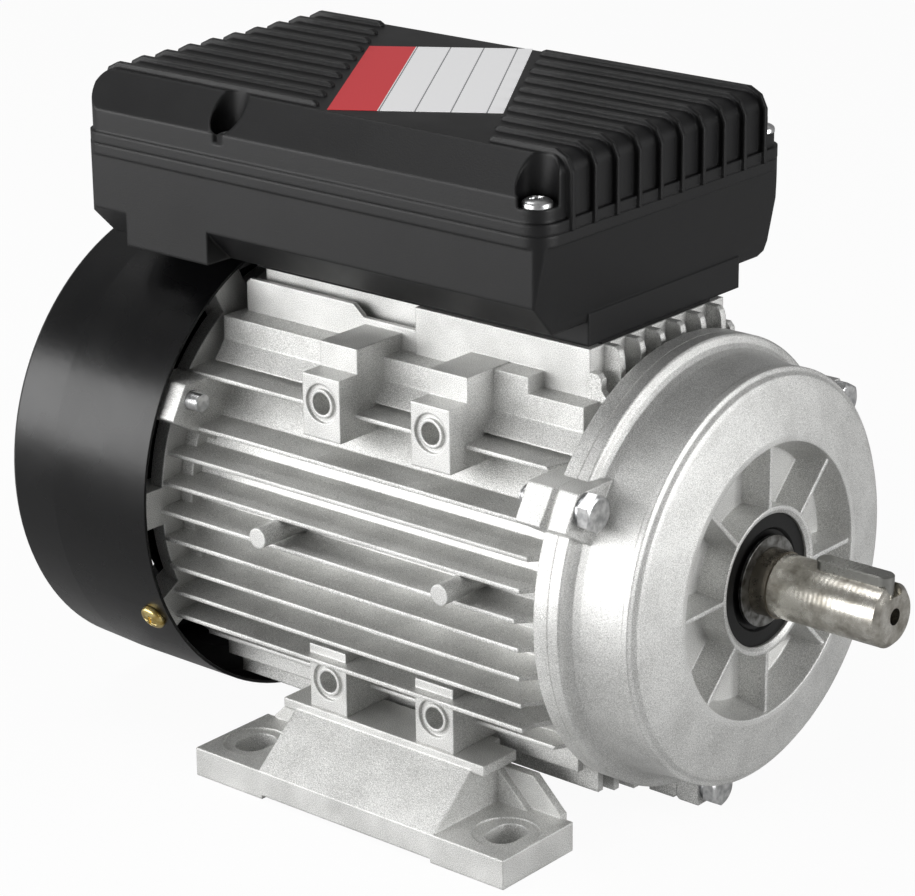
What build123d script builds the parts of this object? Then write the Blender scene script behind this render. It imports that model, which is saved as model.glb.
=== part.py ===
"""Foot-mounted single-phase capacitor motor of frame size 80, in millimetres.

+X runs along the shaft to the drive end, +Z is up, and the origin lies on the floor in the
middle of the foot holes. Sections across the shaft count height from the shaft axis.
"""

import math
import os

from build123d import *

os.makedirs("parts", exist_ok=True)

# Mounting sizes of the frame size
axis_height = 80.0
foot_pitch_x = 100.0
foot_pitch_y = 125.0
foot_hole_d = 10.0
foot_slot_length = 14.0
shaft_d = 19.0
shaft_reach = 40.0
shoulder_from_foot_hole = 50.0
shoulder_x = foot_pitch_x / 2 + shoulder_from_foot_hole
shaft_end_x = shoulder_x + shaft_reach
key_width = 6.0
key_height = 6.0
key_depth = 3.5
key_from_x = 114.0
key_to_x = 139.0
seal_seat_end_x = shoulder_x + 2.5

# Clearances, measured on the radius or on one side
fit_gap = 0.02
running_gap = 0.05
play_gap = 0.3
part_gap = 0.4

# Frame casting
frame_rear_x = -83.0
frame_front_x = 69.6
bore_r = 50.0
root_r = 54.0
anchor_r = 52.0
ring_back_x = 64.7
ring_r = 68.0
rear_ring_r = 58.0
rear_ring_front_x = -78.0
joint_chamfer = 1.2
fin_tip_x = 56.0
fin_root_t = 3.4
fin_tip_t = 1.3
side_fins = [
    (40.2, 52.3),
    (24.9, 57.9),
    (16.3, 62.5),
    (7.4, 65.3),
    (-1.4, 66.8),
    (-10.7, 65.4),
    (-20.1, 64.2),
    (-29.2, 62.8),
    (-37.1, 62.2),
    (-47.5, 48.0),
]
ledge_rear_x = -80.0
ledge_front_x = 60.0
ledge_y = 39.3
upper_ledge = [(43.7, 42.2), (39.3, 48.0), (39.3, 55.4), (25.0, 55.4), (25.0, 46.0), (34.0, 40.0)]
lower_ledge = [(43.7, 42.2), (39.3, 48.0), (39.3, 57.8), (37.0, 57.8), (37.0, 38.0), (39.0, 34.0)]
lower_ledge_front_x = 58.3
bottom_plates = [(32.0, 65.7), (24.3, 68.0), (14.6, 71.0), (4.9, 72.3)]
bottom_plate_front_x = 61.0
plate_t = 2.3
pedestal_top_z = axis_height + 70.0
pedestal_base_z = axis_height + 48.0
pedestal_front_x = 56.5
pedestal_step_x = -8.5
pedestal_rear_x = -74.0
pedestal_front_y = 32.0
pedestal_rear_y = 26.0
guard_y = 31.0
guard_t = 1.6
guard_profile = [
    (-77.7, 51.0),
    (-77.7, 64.5),
    (-76.2, 66.0),
    (-33.8, 66.0),
    (-29.7, 62.5),
    (-8.0, 62.5),
    (-8.0, 51.0),
]
top_fin_ys = [-24.3, -14.6, -4.9, 4.9, 14.6, 24.3]
top_fin_profile = [
    (55.5, 51.0),
    (55.5, 70.0),
    (60.3, 70.0),
    (61.6, 69.0),
    (62.2, 67.0),
    (62.8, 57.0),
    (65.0, 51.0),
]
bridge_profile = [
    (55.5, 48.0),
    (55.5, 63.3),
    (59.4, 63.3),
    (60.8, 61.8),
    (60.8, 58.7),
    (63.0, 56.0),
    (65.0, 51.0),
    (65.0, 48.0),
]
bridge_y = 31.0
boss_xs = [-22.0, 20.0]
boss_half_x = 7.3
boss_face_y = 59.0
boss_root_y = 36.0
boss_low_z = axis_height + 33.4
boss_top_z = axis_height + 52.8
cap_face_y = 51.0
cap_back_y = 30.0
cap_top_z = axis_height + 60.5
tap_z = axis_height + 44.4
tap_r = 3.4
tap_depth = 8.0
tap_ring_in = 4.4
tap_ring_out = 6.0
tap_ring_depth = 1.0
foot_seat_z = 26.0
tab_front_x = 40.0
tab_inner_y = 32.0
tab_top_z = axis_height + 60.3
stud_x = 35.3
stud_z = axis_height + 3.4
stud_r = 3.2
stud_face_y = 74.0
wire_hole_x = (24.0, 46.0)
wire_hole_y = 14.0
box_screw_spots = [(-68.0, -8.0), (-68.0, 8.0), (50.0, -20.0), (50.0, 20.0)]
box_screw_depth = 12.0

# Ears and the bolts that hold the end shields
ear_angle = 30.0
ear_count = 3
ear_up = 3.4
ear_down = 8.4
ear_half = 6.1
ear_round = 0.8
front_ear_flat = 75.6
rear_ear_flat = 74.4
front_bolt_circle = 70.5
rear_bolt_circle = 69.5
front_ear_back_x = 59.6
front_ear_face_x = 77.4
rear_ear_front_x = -74.2
rear_ear_face_x = -88.0
m6_r = 2.95
m6_thread_r = 3.0
m6_clear_r = 3.3
m6_head_af = 10.0
m6_head_h = 4.0
spring_washer_t = 1.2
spring_washer_r = 4.9
front_bolt_tip_x = 56.5
rear_bolt_tip_x = -69.6

# Shaft seal, 40 x 20 x 7, as (distance from its back, radius), and the slinger before it
seal_outer_r = 20.0
seal_back_x = 88.6
seal_profile = [
    (0.0, seal_outer_r),
    (7.0, seal_outer_r),
    (7.0, 15.6),
    (6.2, 14.8),
    (5.8, 10.9),
    (5.2, 10.05),
    (4.4, 10.05),
    (3.6, 11.2),
    (4.4, 12.4),
    (4.4, 17.0),
    (0.0, 17.0),
]
slinger_x = (96.0, 97.0)
slinger_r = 13.6

# Front end shield, as (x, radius) from the bore spigot outwards and back through the inside
seat_front_x = (72.0, 86.0)
shield_front_profile = [
    (64.6, 49.95),
    (69.6, 49.95),
    (69.6, 68.0),
    (73.2, 68.0),
    (73.7, 67.4),
    (74.1, 65.4),
    (75.2, 64.0),
    (77.6, 63.2),
    (84.0, 62.4),
    (90.9, 61.6),
    (91.2, 62.3),
    (93.0, 62.3),
    (93.6, 61.0),
    (94.8, 60.0),
    (95.2, 58.6),
    (96.4, 52.0),
    (98.0, 43.2),
    (98.0, 41.4),
    (88.0, 38.0),
    (88.0, 22.4),
    (97.2, 22.4),
    (97.2, 21.2),
    (96.8, 20.7),
    (96.4, seal_outer_r + fit_gap),
    (seal_back_x, seal_outer_r + fit_gap),
    (seal_back_x, 16.0),
    (86.0, 16.0),
    (86.0, 23.52),
    (72.0, 23.52),
    (70.0, 25.0),
    (70.0, 28.0),
    (84.0, 28.0),
    (84.0, 42.5),
    (93.5, 45.5),
    (91.0, 53.0),
    (87.0, 57.0),
    (76.0, 57.0),
    (70.5, 45.5),
    (64.6, 45.5),
]
shield_rib_count = 8
shield_rib_top_t = 1.3
shield_rib_base_t = 3.6
shield_rib_r = (21.5, 41.0)
shield_rib_x = (87.5, 97.1)

# Rear end shield, as (x, radius)
seat_rear_x = (-92.0, -78.0)
shield_rear_profile = [
    (-78.0, 45.5),
    (-78.0, 49.95),
    (-83.0, 49.95),
    (-83.0, 66.0),
    (-88.0, 66.0),
    (-88.0, 63.5),
    (-89.5, 60.0),
    (-94.0, 50.0),
    (-96.2, 31.0),
    (-96.2, 9.0),
    (-93.2, 9.0),
    (-93.2, 23.52),
    (-78.0, 23.52),
    (-78.0, 28.0),
    (-91.0, 28.0),
    (-89.5, 45.5),
]
nub_angles = [-151.1, -28.9]
guide_angles = [0.0, 62.0, 118.0, 180.0]
nub_width = 12.0
nub_root_r = 58.0
nub_rear_x = -92.0
cover_screw_x = -87.4
m5_r = 2.45
m5_thread_r = 2.5
m5_clear_r = 2.75
m5_head_r = 4.3
m5_head_h = 2.6

# Fan cover and fan
cover_t = 1.0
cover_r = 76.8
cover_front_x = -80.0
cover_crease_x = -120.0
cover_shoulder = [(-138.2, 76.0), (-139.5, 75.2)]
cover_rear_x = -140.0
cover_flat_r = 73.8
grille_rings = [14.0, 23.0, 32.0, 41.0, 50.0, 59.0]
grille_slot = 5.0
grille_spoke = 6.0
grille_spokes = 4
fan_blades = 8
fan_blade_t = 2.2
fan_hub_r = 14.0
fan_hub_x = (-117.8, -98.0)
fan_disc_r = 46.0
fan_disc_x = (-101.0, -98.6)
fan_tip_r = 60.0
fan_blade_x = (-117.0, -100.0)
circlip_x = (-119.0, -118.0)
circlip_r = (7.5, 9.6)

# Shaft
journal_r = 10.0
collar_seat_r = 11.5
core_seat_r = 12.0
fan_seat_r = 8.0
shaft_rear_x = -122.0
core_rear_x = -45.0
core_front_x = 35.0
core_stop_x = 50.0
end_chamfer = 1.5
centre_hole_r = 2.5
centre_hole_depth = 12.0

# Ball bearings, 47 x 20 x 14
ball_r = 3.97
ball_groove_gap = 0.06
ball_pitch_r = 16.75
ball_count = 8
bearing_r = 23.5
bearing_inner_land_r = 14.1
bearing_outer_land_r = 19.4
cage_r = (15.7, 17.8)
cage_t = 10.0
cage_pocket_gap = 0.1
wave_washer_x = (-93.1, -92.1)
wave_washer_r = (17.5, 23.2)

# Stator and rotor packets
stator_bore_r = 27.7
slot_count = 24
slot_r = (30.0, 43.0)
slot_w = 4.0
winding_start = 0.3
winding_profile = [
    (0.0, 31.0),
    (0.0, 45.0),
    (14.7, 46.5),
    (20.7, 45.0),
    (22.7, 42.0),
    (22.7, 34.0),
    (19.7, 31.0),
]
rotor_r = 27.3
end_ring_r = (16.0, 26.0)
end_ring_t = 6.0
ring_vane_t = 2.0
ring_vane_h = 5.0
ring_vanes = 8

# Centrifugal switch
governor_plate_x = (-60.0, -58.0)
governor_plate_r = 26.0
hinge_x = -68.0
hinge_y = 22.0
hinge_pin_r = 1.2
weight_half_z = 5.0
weight_boss_r = 2.0
weight_mass_x = (-66.4, -60.5)
weight_mass_y = (21.0, 26.0)
finger_x = (-70.0, -68.0)
finger_y = 15.0
hinge_lug_t = 2.0
collar_x = (-74.0, -66.0)
collar_tube_r = 13.5
collar_disc_r = 19.0
collar_disc_t = 2.0
collar_lip_r = 16.0
collar_lip_x = (-67.4, -66.0)
board_x = (-78.0, -77.0)
board_r = (14.5, 28.0)
arm_pivot = (-75.1, 25.0)
arm_boss_r = 1.5
arm_pin_r = 0.8
arm_x = (-75.6, -74.6)
arm_low = 13.8
arm_half_y = 3.0
lug_t = 1.2
lug_x = -73.6
lug_z = (23.4, 26.6)

# Feet
foot_end_x = 61.0
foot_y = (45.3, 77.5)
foot_top_z = 9.2
relief_x = 33.6
relief_z = 1.2
spot_face_r = 10.0
spot_face_depth = 0.5
foot_wall_x = 34.8
foot_wall = [(77.5, 9.0), (60.0, 23.6), (47.6, 23.6), (47.6, 9.0)]
foot_hollow_x = 31.4
foot_hollow = [(70.5, 9.2), (57.8, 22.8), (40.0, 22.8), (40.0, 9.2)]
flange_z = 22.8
flange_x = 39.6
flange_y = (45.0, 60.0)
flange_inner_x = 31.0
flange_inner_y = 42.0
inner_web_y = (43.2, 46.0)
inner_web = [(57.1, 0.0), (57.1, 10.2), (46.9, 20.1)]
foot_rib_y = (45.8, 48.2)
foot_rib = [(34.0, 9.0), (34.0, 21.0), (46.6, 9.0)]
foot_bolt_y = 47.0
foot_bolt_tip_z = 37.0
notch_half = 7.0
notch_z = 17.0

# Terminal box
box_x = (-118.5, 59.0)
box_y = 57.5
box_wall = 2.6
box_floor_z = axis_height + 77.8
rim_x = (-119.6, 60.3)
rim_y = 58.5
rim_low_z = axis_height + 105.0
split_z = axis_height + 108.6
box_corner_r = 8.0
base_section = [
    (-57.5, 108.6),
    (-57.5, 88.0),
    (-47.5, 77.8),
    (51.0, 77.8),
    (54.0, 79.0),
    (55.2, 82.0),
    (57.5, 108.6),
]
base_side = [(-118.5, 108.6), (-117.5, 77.8), (55.2, 77.8), (59.0, 105.0), (59.0, 108.6)]
fill_x = (-102.0, -68.0)
fill_curve_x = -105.0
fill_y = (-57.5, -46.0)
fill_rise = 90.5
gasket_t = 0.8
neck_x = (-72.0, 56.0)
neck_y = (-32.0, 40.5)
cavity_low_y = (-45.0, 52.0)
cavity_step_z = axis_height + 90.0
pillar_r = 5.0
lid_spots = [(54.0, -52.5), (-62.0, -52.0), (54.5, 52.0), (-9.0, 52.5)]
lid_screw_r = 1.9
lid_screw_head_r = 4.4
lid_screw_head_h = 2.6
lid_screw_tip_z = axis_height + 92.0
lid_lip_z = axis_height + 112.0
lid_band_z = axis_height + 119.0
lid_top_z = axis_height + 129.5
lid_y = 57.8
lid_top_y = 48.5
lid_edge_r = 5.0
lid_wall = 2.6
pocket_r = 5.8
pocket_post_r = 8.6
pocket_floor_z = axis_height + 116.0
rib_count = 10
rib_pitch = 10.1
rib_t = 1.4
rib_h = 1.6
rib_front_x = 61.2
rib_rear_x = -120.5
rib_round = 6.0
band_slope = math.tan(math.radians(31.0))
band_rear_x = -60.2
band_front_x = 4.4

# Electrical parts inside the terminal box
capacitor_x = (-112.0, -40.0)
start_capacitor_y = -22.0
start_capacitor_r = 18.0
run_capacitor_y = 25.0
run_capacitor_r = 20.0
capacitor_gap = 0.25
tag_w = 6.3
tag_l = 8.0
tag_t = 0.8
strap_xs = [-105.5, -52.0]
strap_w = 12.0
strap_t = 1.0
strap_foot = 3.0
board_block_x = (-28.0, 14.0)
board_block_y = 26.0
board_block_h = 9.0
stud_spots = [(-18.0, -17.0), (-18.0, 0.0), (-18.0, 17.0), (4.0, -17.0), (4.0, 0.0), (4.0, 17.0)]
terminal_r = 2.5
terminal_sink = 5.0
terminal_h = 14.0
terminal_nut_af = 8.0
terminal_nut_h = 4.0
link_w = 8.0
link_t = 1.0

# Cable gland on the far wall
gland_x = -85.0
gland_z = axis_height + 92.9
gland_pad_r = 13.0
gland_pad_y = 52.0
gland_bore_r = 5.6
gland_thread_r = 9.9
gland_hex_af = 24.0
gland_hex_t = 5.0
gland_dome_r = 11.5
gland_chamfer = 2.0
gland_end_y = 76.0
gland_nut_t = 4.5
gland_thread_y = 47.0

motor_axis = Axis((0, 0, axis_height), (1, 0, 0))
axis_plane = Plane(origin=(0, 0, axis_height), x_dir=(1, 0, 0), z_dir=(0, -1, 0))


def section(x):
    """Plane across the shaft at x: local x runs along Y, local y upwards from the axis."""
    return Plane(origin=(x, 0, axis_height), x_dir=(0, 1, 0), z_dir=(1, 0, 0))


def upright(y):
    """Plane along the shaft at y: local x runs along X, local y upwards from the floor."""
    return Plane(origin=(0, y, 0), x_dir=(1, 0, 0), z_dir=(0, -1, 0))


def side_on(y):
    """Plane along the shaft at y: local x runs along X, local y upwards from the axis."""
    return Plane(origin=(0, y, axis_height), x_dir=(1, 0, 0), z_dir=(0, -1, 0))


def level(z):
    """Plane parallel to the floor at height z."""
    return Plane.XY.offset(z)


def turned(points, mode=Mode.ADD):
    """Solid of revolution about the shaft axis from (x, radius) points."""
    with BuildSketch(axis_plane) as profile:
        with BuildLine():
            Polyline(*points, close=True)
        make_face()
    revolve(profile.sketch, axis=motor_axis, mode=mode)


def slab(plane, points, amount, both=False, mode=Mode.ADD):
    """Prism over a polygon on a plane."""
    with BuildSketch(plane) as profile:
        with BuildLine():
            Polyline(*points, close=True)
        make_face()
    extrude(profile.sketch, amount=amount, both=both, mode=mode)


def block(x_span, y_span, z_span, mode=Mode.ADD):
    """Box between two limits on each axis."""
    spans = (x_span, y_span, z_span)
    with Locations(tuple((low + high) / 2 for low, high in spans)):
        Box(*(abs(high - low) for low, high in spans), mode=mode)


def pipe(plane, outer_r, inner_r, length, mode=Mode.ADD):
    """Ring extruded from a plane, solid where the inner radius is zero."""
    with BuildSketch(plane) as profile:
        Circle(outer_r)
        if inner_r:
            Circle(inner_r, mode=Mode.SUBTRACT)
    extrude(profile.sketch, amount=length, mode=mode)


def polar_discs(x, length, circle_r, radius, mode=Mode.ADD):
    """Discs on the ears' bolt circle, extruded along X."""
    with BuildSketch(section(x)) as profile:
        with PolarLocations(circle_r, ear_count, start_angle=ear_angle):
            Circle(radius)
    extrude(profile.sketch, amount=length, mode=mode)


def ears(x, length, flat_r):
    """Lugs for the shield bolts: two with a level top beside the axis, and one below it."""
    with BuildSketch(section(x)) as profile:
        for side in (-1, 1):
            with BuildLine():
                Polyline(*[(side * y, z) for y, z in side_ear(flat_r)], close=True)
            make_face()
        with Locations((0, -(anchor_r + flat_r) / 2)):
            Rectangle(2 * ear_half, flat_r - anchor_r)
        outer = profile.vertices().filter_by(lambda v: math.hypot(v.Y, v.Z - axis_height) > flat_r)
        fillet(outer, radius=ear_round)
    extrude(profile.sketch, amount=length)


def side_ear(flat_r):
    """Outline of the ear beside the axis, as (y, height above the axis)."""
    cosine, sine = math.cos(math.radians(ear_angle)), math.sin(math.radians(ear_angle))
    top = (flat_r * cosine - ear_up * sine, flat_r * sine + ear_up * cosine)
    low = (flat_r * cosine + ear_down * sine, flat_r * sine - ear_down * cosine)
    low_root = (anchor_r * cosine + ear_down * sine, anchor_r * sine - ear_down * cosine)
    return [top, low, low_root, (math.sqrt(anchor_r**2 - top[1] ** 2), top[1])]


def radial_block(angle, radii, width, x_span, mode=Mode.ADD):
    """Box that stands on the shaft axis at an angle, between two radii."""
    with BuildSketch(section(x_span[0])) as profile:
        with PolarLocations((radii[0] + radii[1]) / 2, 1, start_angle=angle):
            Rectangle(radii[1] - radii[0], width)
    extrude(profile.sketch, amount=x_span[1] - x_span[0], mode=mode)


def radial_plane(angle, radius, x):
    """Plane that faces away from the shaft axis at an angle."""
    out = (0, math.cos(math.radians(angle)), math.sin(math.radians(angle)))
    foot = (x, radius * out[1], axis_height + radius * out[2])
    return Plane(origin=foot, x_dir=(1, 0, 0), z_dir=out)


def joint_cut(x, out):
    """Bevels the ears' outer edges where they meet at x, on the side that out points to."""
    low = front_ear_flat - joint_chamfer
    high = front_ear_flat + 2 * joint_chamfer
    turned([(x, low), (x + 3 * out * joint_chamfer, high), (x, high)], Mode.SUBTRACT)


def save(builder, name):
    """Labels a finished sub-part and writes its STEP file."""
    builder.part.label = name
    export_step(builder.part, f"parts/{name}.step")


with BuildPart() as stator_frame:
    for rise, tip in side_fins:
        root = math.sqrt(anchor_r**2 - (abs(rise) + fin_root_t / 2) ** 2)
        for side in (-1, 1):
            fin = [
                (side * root, rise + fin_root_t / 2),
                (side * tip, rise + fin_tip_t / 2),
                (side * tip, rise - fin_tip_t / 2),
                (side * root, rise - fin_root_t / 2),
            ]
            slab(section(frame_rear_x), fin, ring_back_x - frame_rear_x)
    turned(
        [
            (fin_tip_x, ring_r),
            (ring_back_x, root_r),
            (frame_front_x, root_r),
            (frame_front_x, ring_r * 2),
            (fin_tip_x, ring_r * 2),
        ],
        Mode.SUBTRACT,
    )
    pipe(section(frame_rear_x), root_r, 0, frame_front_x - frame_rear_x)
    for side in (-1, 1):
        high = [(side * y, z) for y, z in upper_ledge]
        low = [(side * y, -z) for y, z in lower_ledge]
        slab(section(ledge_rear_x), high, ledge_front_x - ledge_rear_x)
        slab(section(frame_rear_x), low, lower_ledge_front_x - frame_rear_x)
        for y, drop in bottom_plates:
            root = -math.sqrt(anchor_r**2 - (y + plate_t) ** 2)
            near, far = side * (y - plate_t / 2), side * (y + plate_t / 2)
            web = [(near, root), (far, root), (far, -drop), (near, -drop)]
            slab(section(frame_rear_x), web, bottom_plate_front_x - frame_rear_x)
        slab(side_on(side * (guard_y - guard_t / 2)), guard_profile, guard_t / 2, both=True)
        slab(side_on(side * bridge_y), bridge_profile, plate_t / 2, both=True)
        for x in boss_xs:
            across = (x - boss_half_x, x + boss_half_x)
            block(across, sorted((side * boss_root_y, side * boss_face_y)), (boss_low_z, boss_top_z))
            block(across, sorted((side * cap_back_y, side * cap_face_y)), (boss_top_z - 1, cap_top_z))
            block(
                across,
                sorted((side * boss_root_y, side * boss_face_y)),
                (foot_seat_z, 2 * axis_height - boss_low_z),
            )
        block(
            (boss_xs[1], tab_front_x),
            sorted((side * tab_inner_y, side * ledge_y)),
            (pedestal_base_z, tab_top_z),
        )
    block(
        (pedestal_step_x, pedestal_front_x),
        (-pedestal_front_y, pedestal_front_y),
        (pedestal_base_z, pedestal_top_z),
    )
    block(
        (pedestal_rear_x, pedestal_step_x),
        (-pedestal_rear_y, pedestal_rear_y),
        (pedestal_base_z, pedestal_top_z),
    )
    for y in top_fin_ys:
        slab(side_on(y), top_fin_profile, plate_t / 2, both=True)
    pipe(section(ring_back_x), ring_r, 0, frame_front_x - ring_back_x)
    pipe(section(frame_rear_x), rear_ring_r, 0, rear_ring_front_x - frame_rear_x)
    ears(front_ear_back_x, frame_front_x - front_ear_back_x, front_ear_flat)
    ears(frame_rear_x, rear_ear_front_x - frame_rear_x, rear_ear_flat)
    for x in (-stud_x, stud_x):
        stud = Plane(origin=(x, -anchor_r, stud_z), x_dir=(1, 0, 0), z_dir=(0, -1, 0))
        pipe(stud, stud_r, 0, stud_face_y - anchor_r)
    pipe(section(frame_rear_x), bore_r, 0, frame_front_x - frame_rear_x, Mode.SUBTRACT)
    joint_cut(frame_front_x, -1)
    block(wire_hole_x, (-wire_hole_y, wire_hole_y), (axis_height, pedestal_top_z), Mode.SUBTRACT)
    for back_x, front_x, circle_r in (
        (front_ear_back_x, frame_front_x, front_bolt_circle),
        (frame_rear_x, rear_ear_front_x, rear_bolt_circle),
    ):
        polar_discs(back_x, front_x - back_x, circle_r, m6_thread_r, Mode.SUBTRACT)
    with BuildSketch(level(pedestal_top_z)):
        with Locations(*box_screw_spots):
            Circle(m5_thread_r)
    extrude(amount=-box_screw_depth, mode=Mode.SUBTRACT)
    tap_spots = [(x, z) for x in boss_xs for z in (tap_z, 2 * axis_height - tap_z)]
    for side in (-1, 1):
        with BuildSketch(upright(side * boss_face_y)) as taps:
            with Locations(*tap_spots):
                Circle(tap_r)
        extrude(taps.sketch, amount=side * tap_depth, mode=Mode.SUBTRACT)
        with BuildSketch(upright(side * boss_face_y)) as tap_rings:
            with Locations(*tap_spots):
                Circle(tap_ring_out)
                Circle(tap_ring_in, mode=Mode.SUBTRACT)
        extrude(tap_rings.sketch, amount=side * tap_ring_depth, mode=Mode.SUBTRACT)
        with BuildSketch(level(foot_seat_z)) as foot_taps:
            with Locations(*[(x, side * foot_bolt_y) for x in boss_xs]):
                Circle(m6_thread_r)
        extrude(foot_taps.sketch, amount=foot_bolt_tip_z - foot_seat_z + play_gap, mode=Mode.SUBTRACT)
save(stator_frame, "stator_frame")

for foot_name, side in (("foot_left", 1), ("foot_right", -1)):
    with BuildPart() as foot:
        plate = sorted((side * foot_y[0], side * foot_y[1]))
        block((-foot_end_x, foot_end_x), plate, (0, foot_top_z))
        wall = [(side * y, z - axis_height) for y, z in foot_wall]
        slab(section(-foot_wall_x), wall, 2 * foot_wall_x)
        flange = sorted((side * flange_y[0], side * flange_y[1]))
        block((-flange_x, flange_x), flange, (flange_z, foot_seat_z))
        block(
            (-flange_inner_x, flange_inner_x),
            sorted((side * flange_inner_y, side * flange_y[1])),
            (flange_z, foot_seat_z),
        )
        hollow = [(side * y, z - axis_height) for y, z in foot_hollow]
        slab(section(-foot_hollow_x), hollow, 2 * foot_hollow_x, mode=Mode.SUBTRACT)
        web = inner_web + [(-x, z) for x, z in reversed(inner_web)]
        web_mid = side * (inner_web_y[0] + inner_web_y[1]) / 2
        slab(upright(web_mid), web, (inner_web_y[1] - inner_web_y[0]) / 2, both=True)
        rib_mid = side * (foot_rib_y[0] + foot_rib_y[1]) / 2
        for end in (-1, 1):
            rib = [(end * x, z) for x, z in foot_rib]
            slab(upright(rib_mid), rib, (foot_rib_y[1] - foot_rib_y[0]) / 2, both=True)
            notch_x = min(boss_xs) if end < 0 else max(boss_xs)
            block(
                (notch_x - notch_half, notch_x + notch_half),
                sorted((side * inner_web_y[0], side * inner_web_y[1])),
                (notch_z, flange_z),
                Mode.SUBTRACT,
            )
        block(
            (-relief_x, relief_x),
            sorted((side * inner_web_y[0], side * foot_y[1])),
            (0, relief_z),
            Mode.SUBTRACT,
        )
        slots = [(x, side * foot_pitch_y / 2) for x in (-foot_pitch_x / 2, foot_pitch_x / 2)]
        with BuildSketch(level(0)):
            with Locations(*slots):
                SlotOverall(foot_slot_length, foot_hole_d, rotation=90)
        extrude(amount=foot_top_z, mode=Mode.SUBTRACT)
        with BuildSketch(level(foot_top_z)):
            with Locations(*slots):
                Circle(spot_face_r)
        extrude(amount=-spot_face_depth, mode=Mode.SUBTRACT)
        with BuildSketch(level(flange_z)):
            with Locations(*[(x, side * foot_bolt_y) for x in boss_xs]):
                Circle(m6_clear_r)
        extrude(amount=foot_seat_z - flange_z, mode=Mode.SUBTRACT)
    save(foot, foot_name)

with BuildPart() as foot_bolts:
    spots = [(x, y) for x in boss_xs for y in (-foot_bolt_y, foot_bolt_y)]
    with BuildSketch(level(flange_z)):
        with Locations(*spots):
            RegularPolygon(m6_head_af / 2, 6, major_radius=False, rotation=30)
    extrude(amount=-m6_head_h)
    with BuildSketch(level(flange_z)):
        with Locations(*spots):
            Circle(m6_r)
    extrude(amount=foot_bolt_tip_z - flange_z)
save(foot_bolts, "foot_bolts")

with BuildPart() as front_end_shield:
    front_ear_t = front_ear_face_x - frame_front_x
    turned(shield_front_profile)
    rib = [
        (shield_rib_x[0], -shield_rib_base_t / 2),
        (shield_rib_x[0], shield_rib_base_t / 2),
        (shield_rib_x[1], shield_rib_top_t / 2),
        (shield_rib_x[1], -shield_rib_top_t / 2),
    ]
    for number in range(shield_rib_count):
        foot = radial_plane(number * 360 / shield_rib_count, shield_rib_r[0], 0)
        slab(foot, rib, shield_rib_r[1] - shield_rib_r[0])
    ears(frame_front_x, front_ear_t, front_ear_flat)
    pipe(section(frame_front_x), anchor_r + part_gap, 0, front_ear_t, Mode.SUBTRACT)
    turned(shield_front_profile)
    joint_cut(frame_front_x, 1)
    polar_discs(frame_front_x, front_ear_t, front_bolt_circle, m6_clear_r, Mode.SUBTRACT)
save(front_end_shield, "front_end_shield")

with BuildPart() as rear_end_shield:
    turned(shield_rear_profile)
    ears(rear_ear_face_x, frame_rear_x - rear_ear_face_x, rear_ear_flat)
    nub_tip = math.sqrt((cover_r - cover_t - running_gap) ** 2 - (nub_width / 2) ** 2)
    for angle in nub_angles + guide_angles:
        radial_block(angle, (nub_root_r, nub_tip), nub_width, (nub_rear_x, frame_rear_x))
    polar_discs(rear_ear_face_x, frame_rear_x - rear_ear_face_x, rear_bolt_circle, m6_clear_r, Mode.SUBTRACT)
    for angle in nub_angles:
        hole = radial_plane(angle, nub_root_r + part_gap, cover_screw_x)
        pipe(hole, m5_thread_r, 0, cover_r - nub_root_r, Mode.SUBTRACT)
save(rear_end_shield, "rear_end_shield")

front_seat_x = front_ear_face_x + spring_washer_t
rear_seat_x = rear_ear_face_x - spring_washer_t
for name, seat, tip, circle_r, out, turn in (
    ("front_shield_bolts", front_seat_x, front_bolt_tip_x, front_bolt_circle, 1, 0),
    ("rear_shield_bolts", rear_seat_x, rear_bolt_tip_x, rear_bolt_circle, -1, 30),
):
    with BuildPart() as bolts:
        with BuildSketch(section(seat)):
            with PolarLocations(circle_r, ear_count, start_angle=ear_angle):
                RegularPolygon(m6_head_af / 2, 6, major_radius=False, rotation=turn)
        extrude(amount=out * m6_head_h)
        polar_discs(seat, tip - seat, circle_r, m6_r)
    save(bolts, name)

for name, face, circle_r, out in (
    ("front_spring_washers", front_ear_face_x, front_bolt_circle, 1),
    ("rear_spring_washers", rear_ear_face_x, rear_bolt_circle, -1),
):
    with BuildPart() as washers:
        polar_discs(face, out * spring_washer_t, circle_r, spring_washer_r)
        polar_discs(face, out * spring_washer_t, circle_r, m6_clear_r, Mode.SUBTRACT)
    save(washers, name)

with BuildPart() as fan_cover:
    outside = [(cover_front_x, cover_r), (cover_crease_x, cover_r)]
    outside += cover_shoulder + [(cover_rear_x, cover_flat_r), (cover_rear_x, 0)]
    inside = [(cover_rear_x + cover_t, 0), (cover_rear_x + cover_t, cover_flat_r - cover_t / 2)]
    inside += [(x + cover_t, r - cover_t) for x, r in reversed(cover_shoulder)]
    inside += [(cover_crease_x, cover_r - cover_t), (cover_front_x, cover_r - cover_t)]
    turned(outside + inside)
    with BuildSketch(section(cover_rear_x)):
        for ring in sorted(grille_rings, reverse=True):
            Circle(ring + grille_slot / 2)
            Circle(ring - grille_slot / 2, mode=Mode.SUBTRACT)
        with PolarLocations(0, grille_spokes // 2):
            Rectangle(2 * cover_r, grille_spoke, mode=Mode.SUBTRACT)
    extrude(amount=cover_t, mode=Mode.SUBTRACT)
    for angle in nub_angles:
        hole = radial_plane(angle, cover_r - 2 * cover_t, cover_screw_x)
        pipe(hole, m5_clear_r, 0, 3 * cover_t, Mode.SUBTRACT)
save(fan_cover, "fan_cover")

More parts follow.
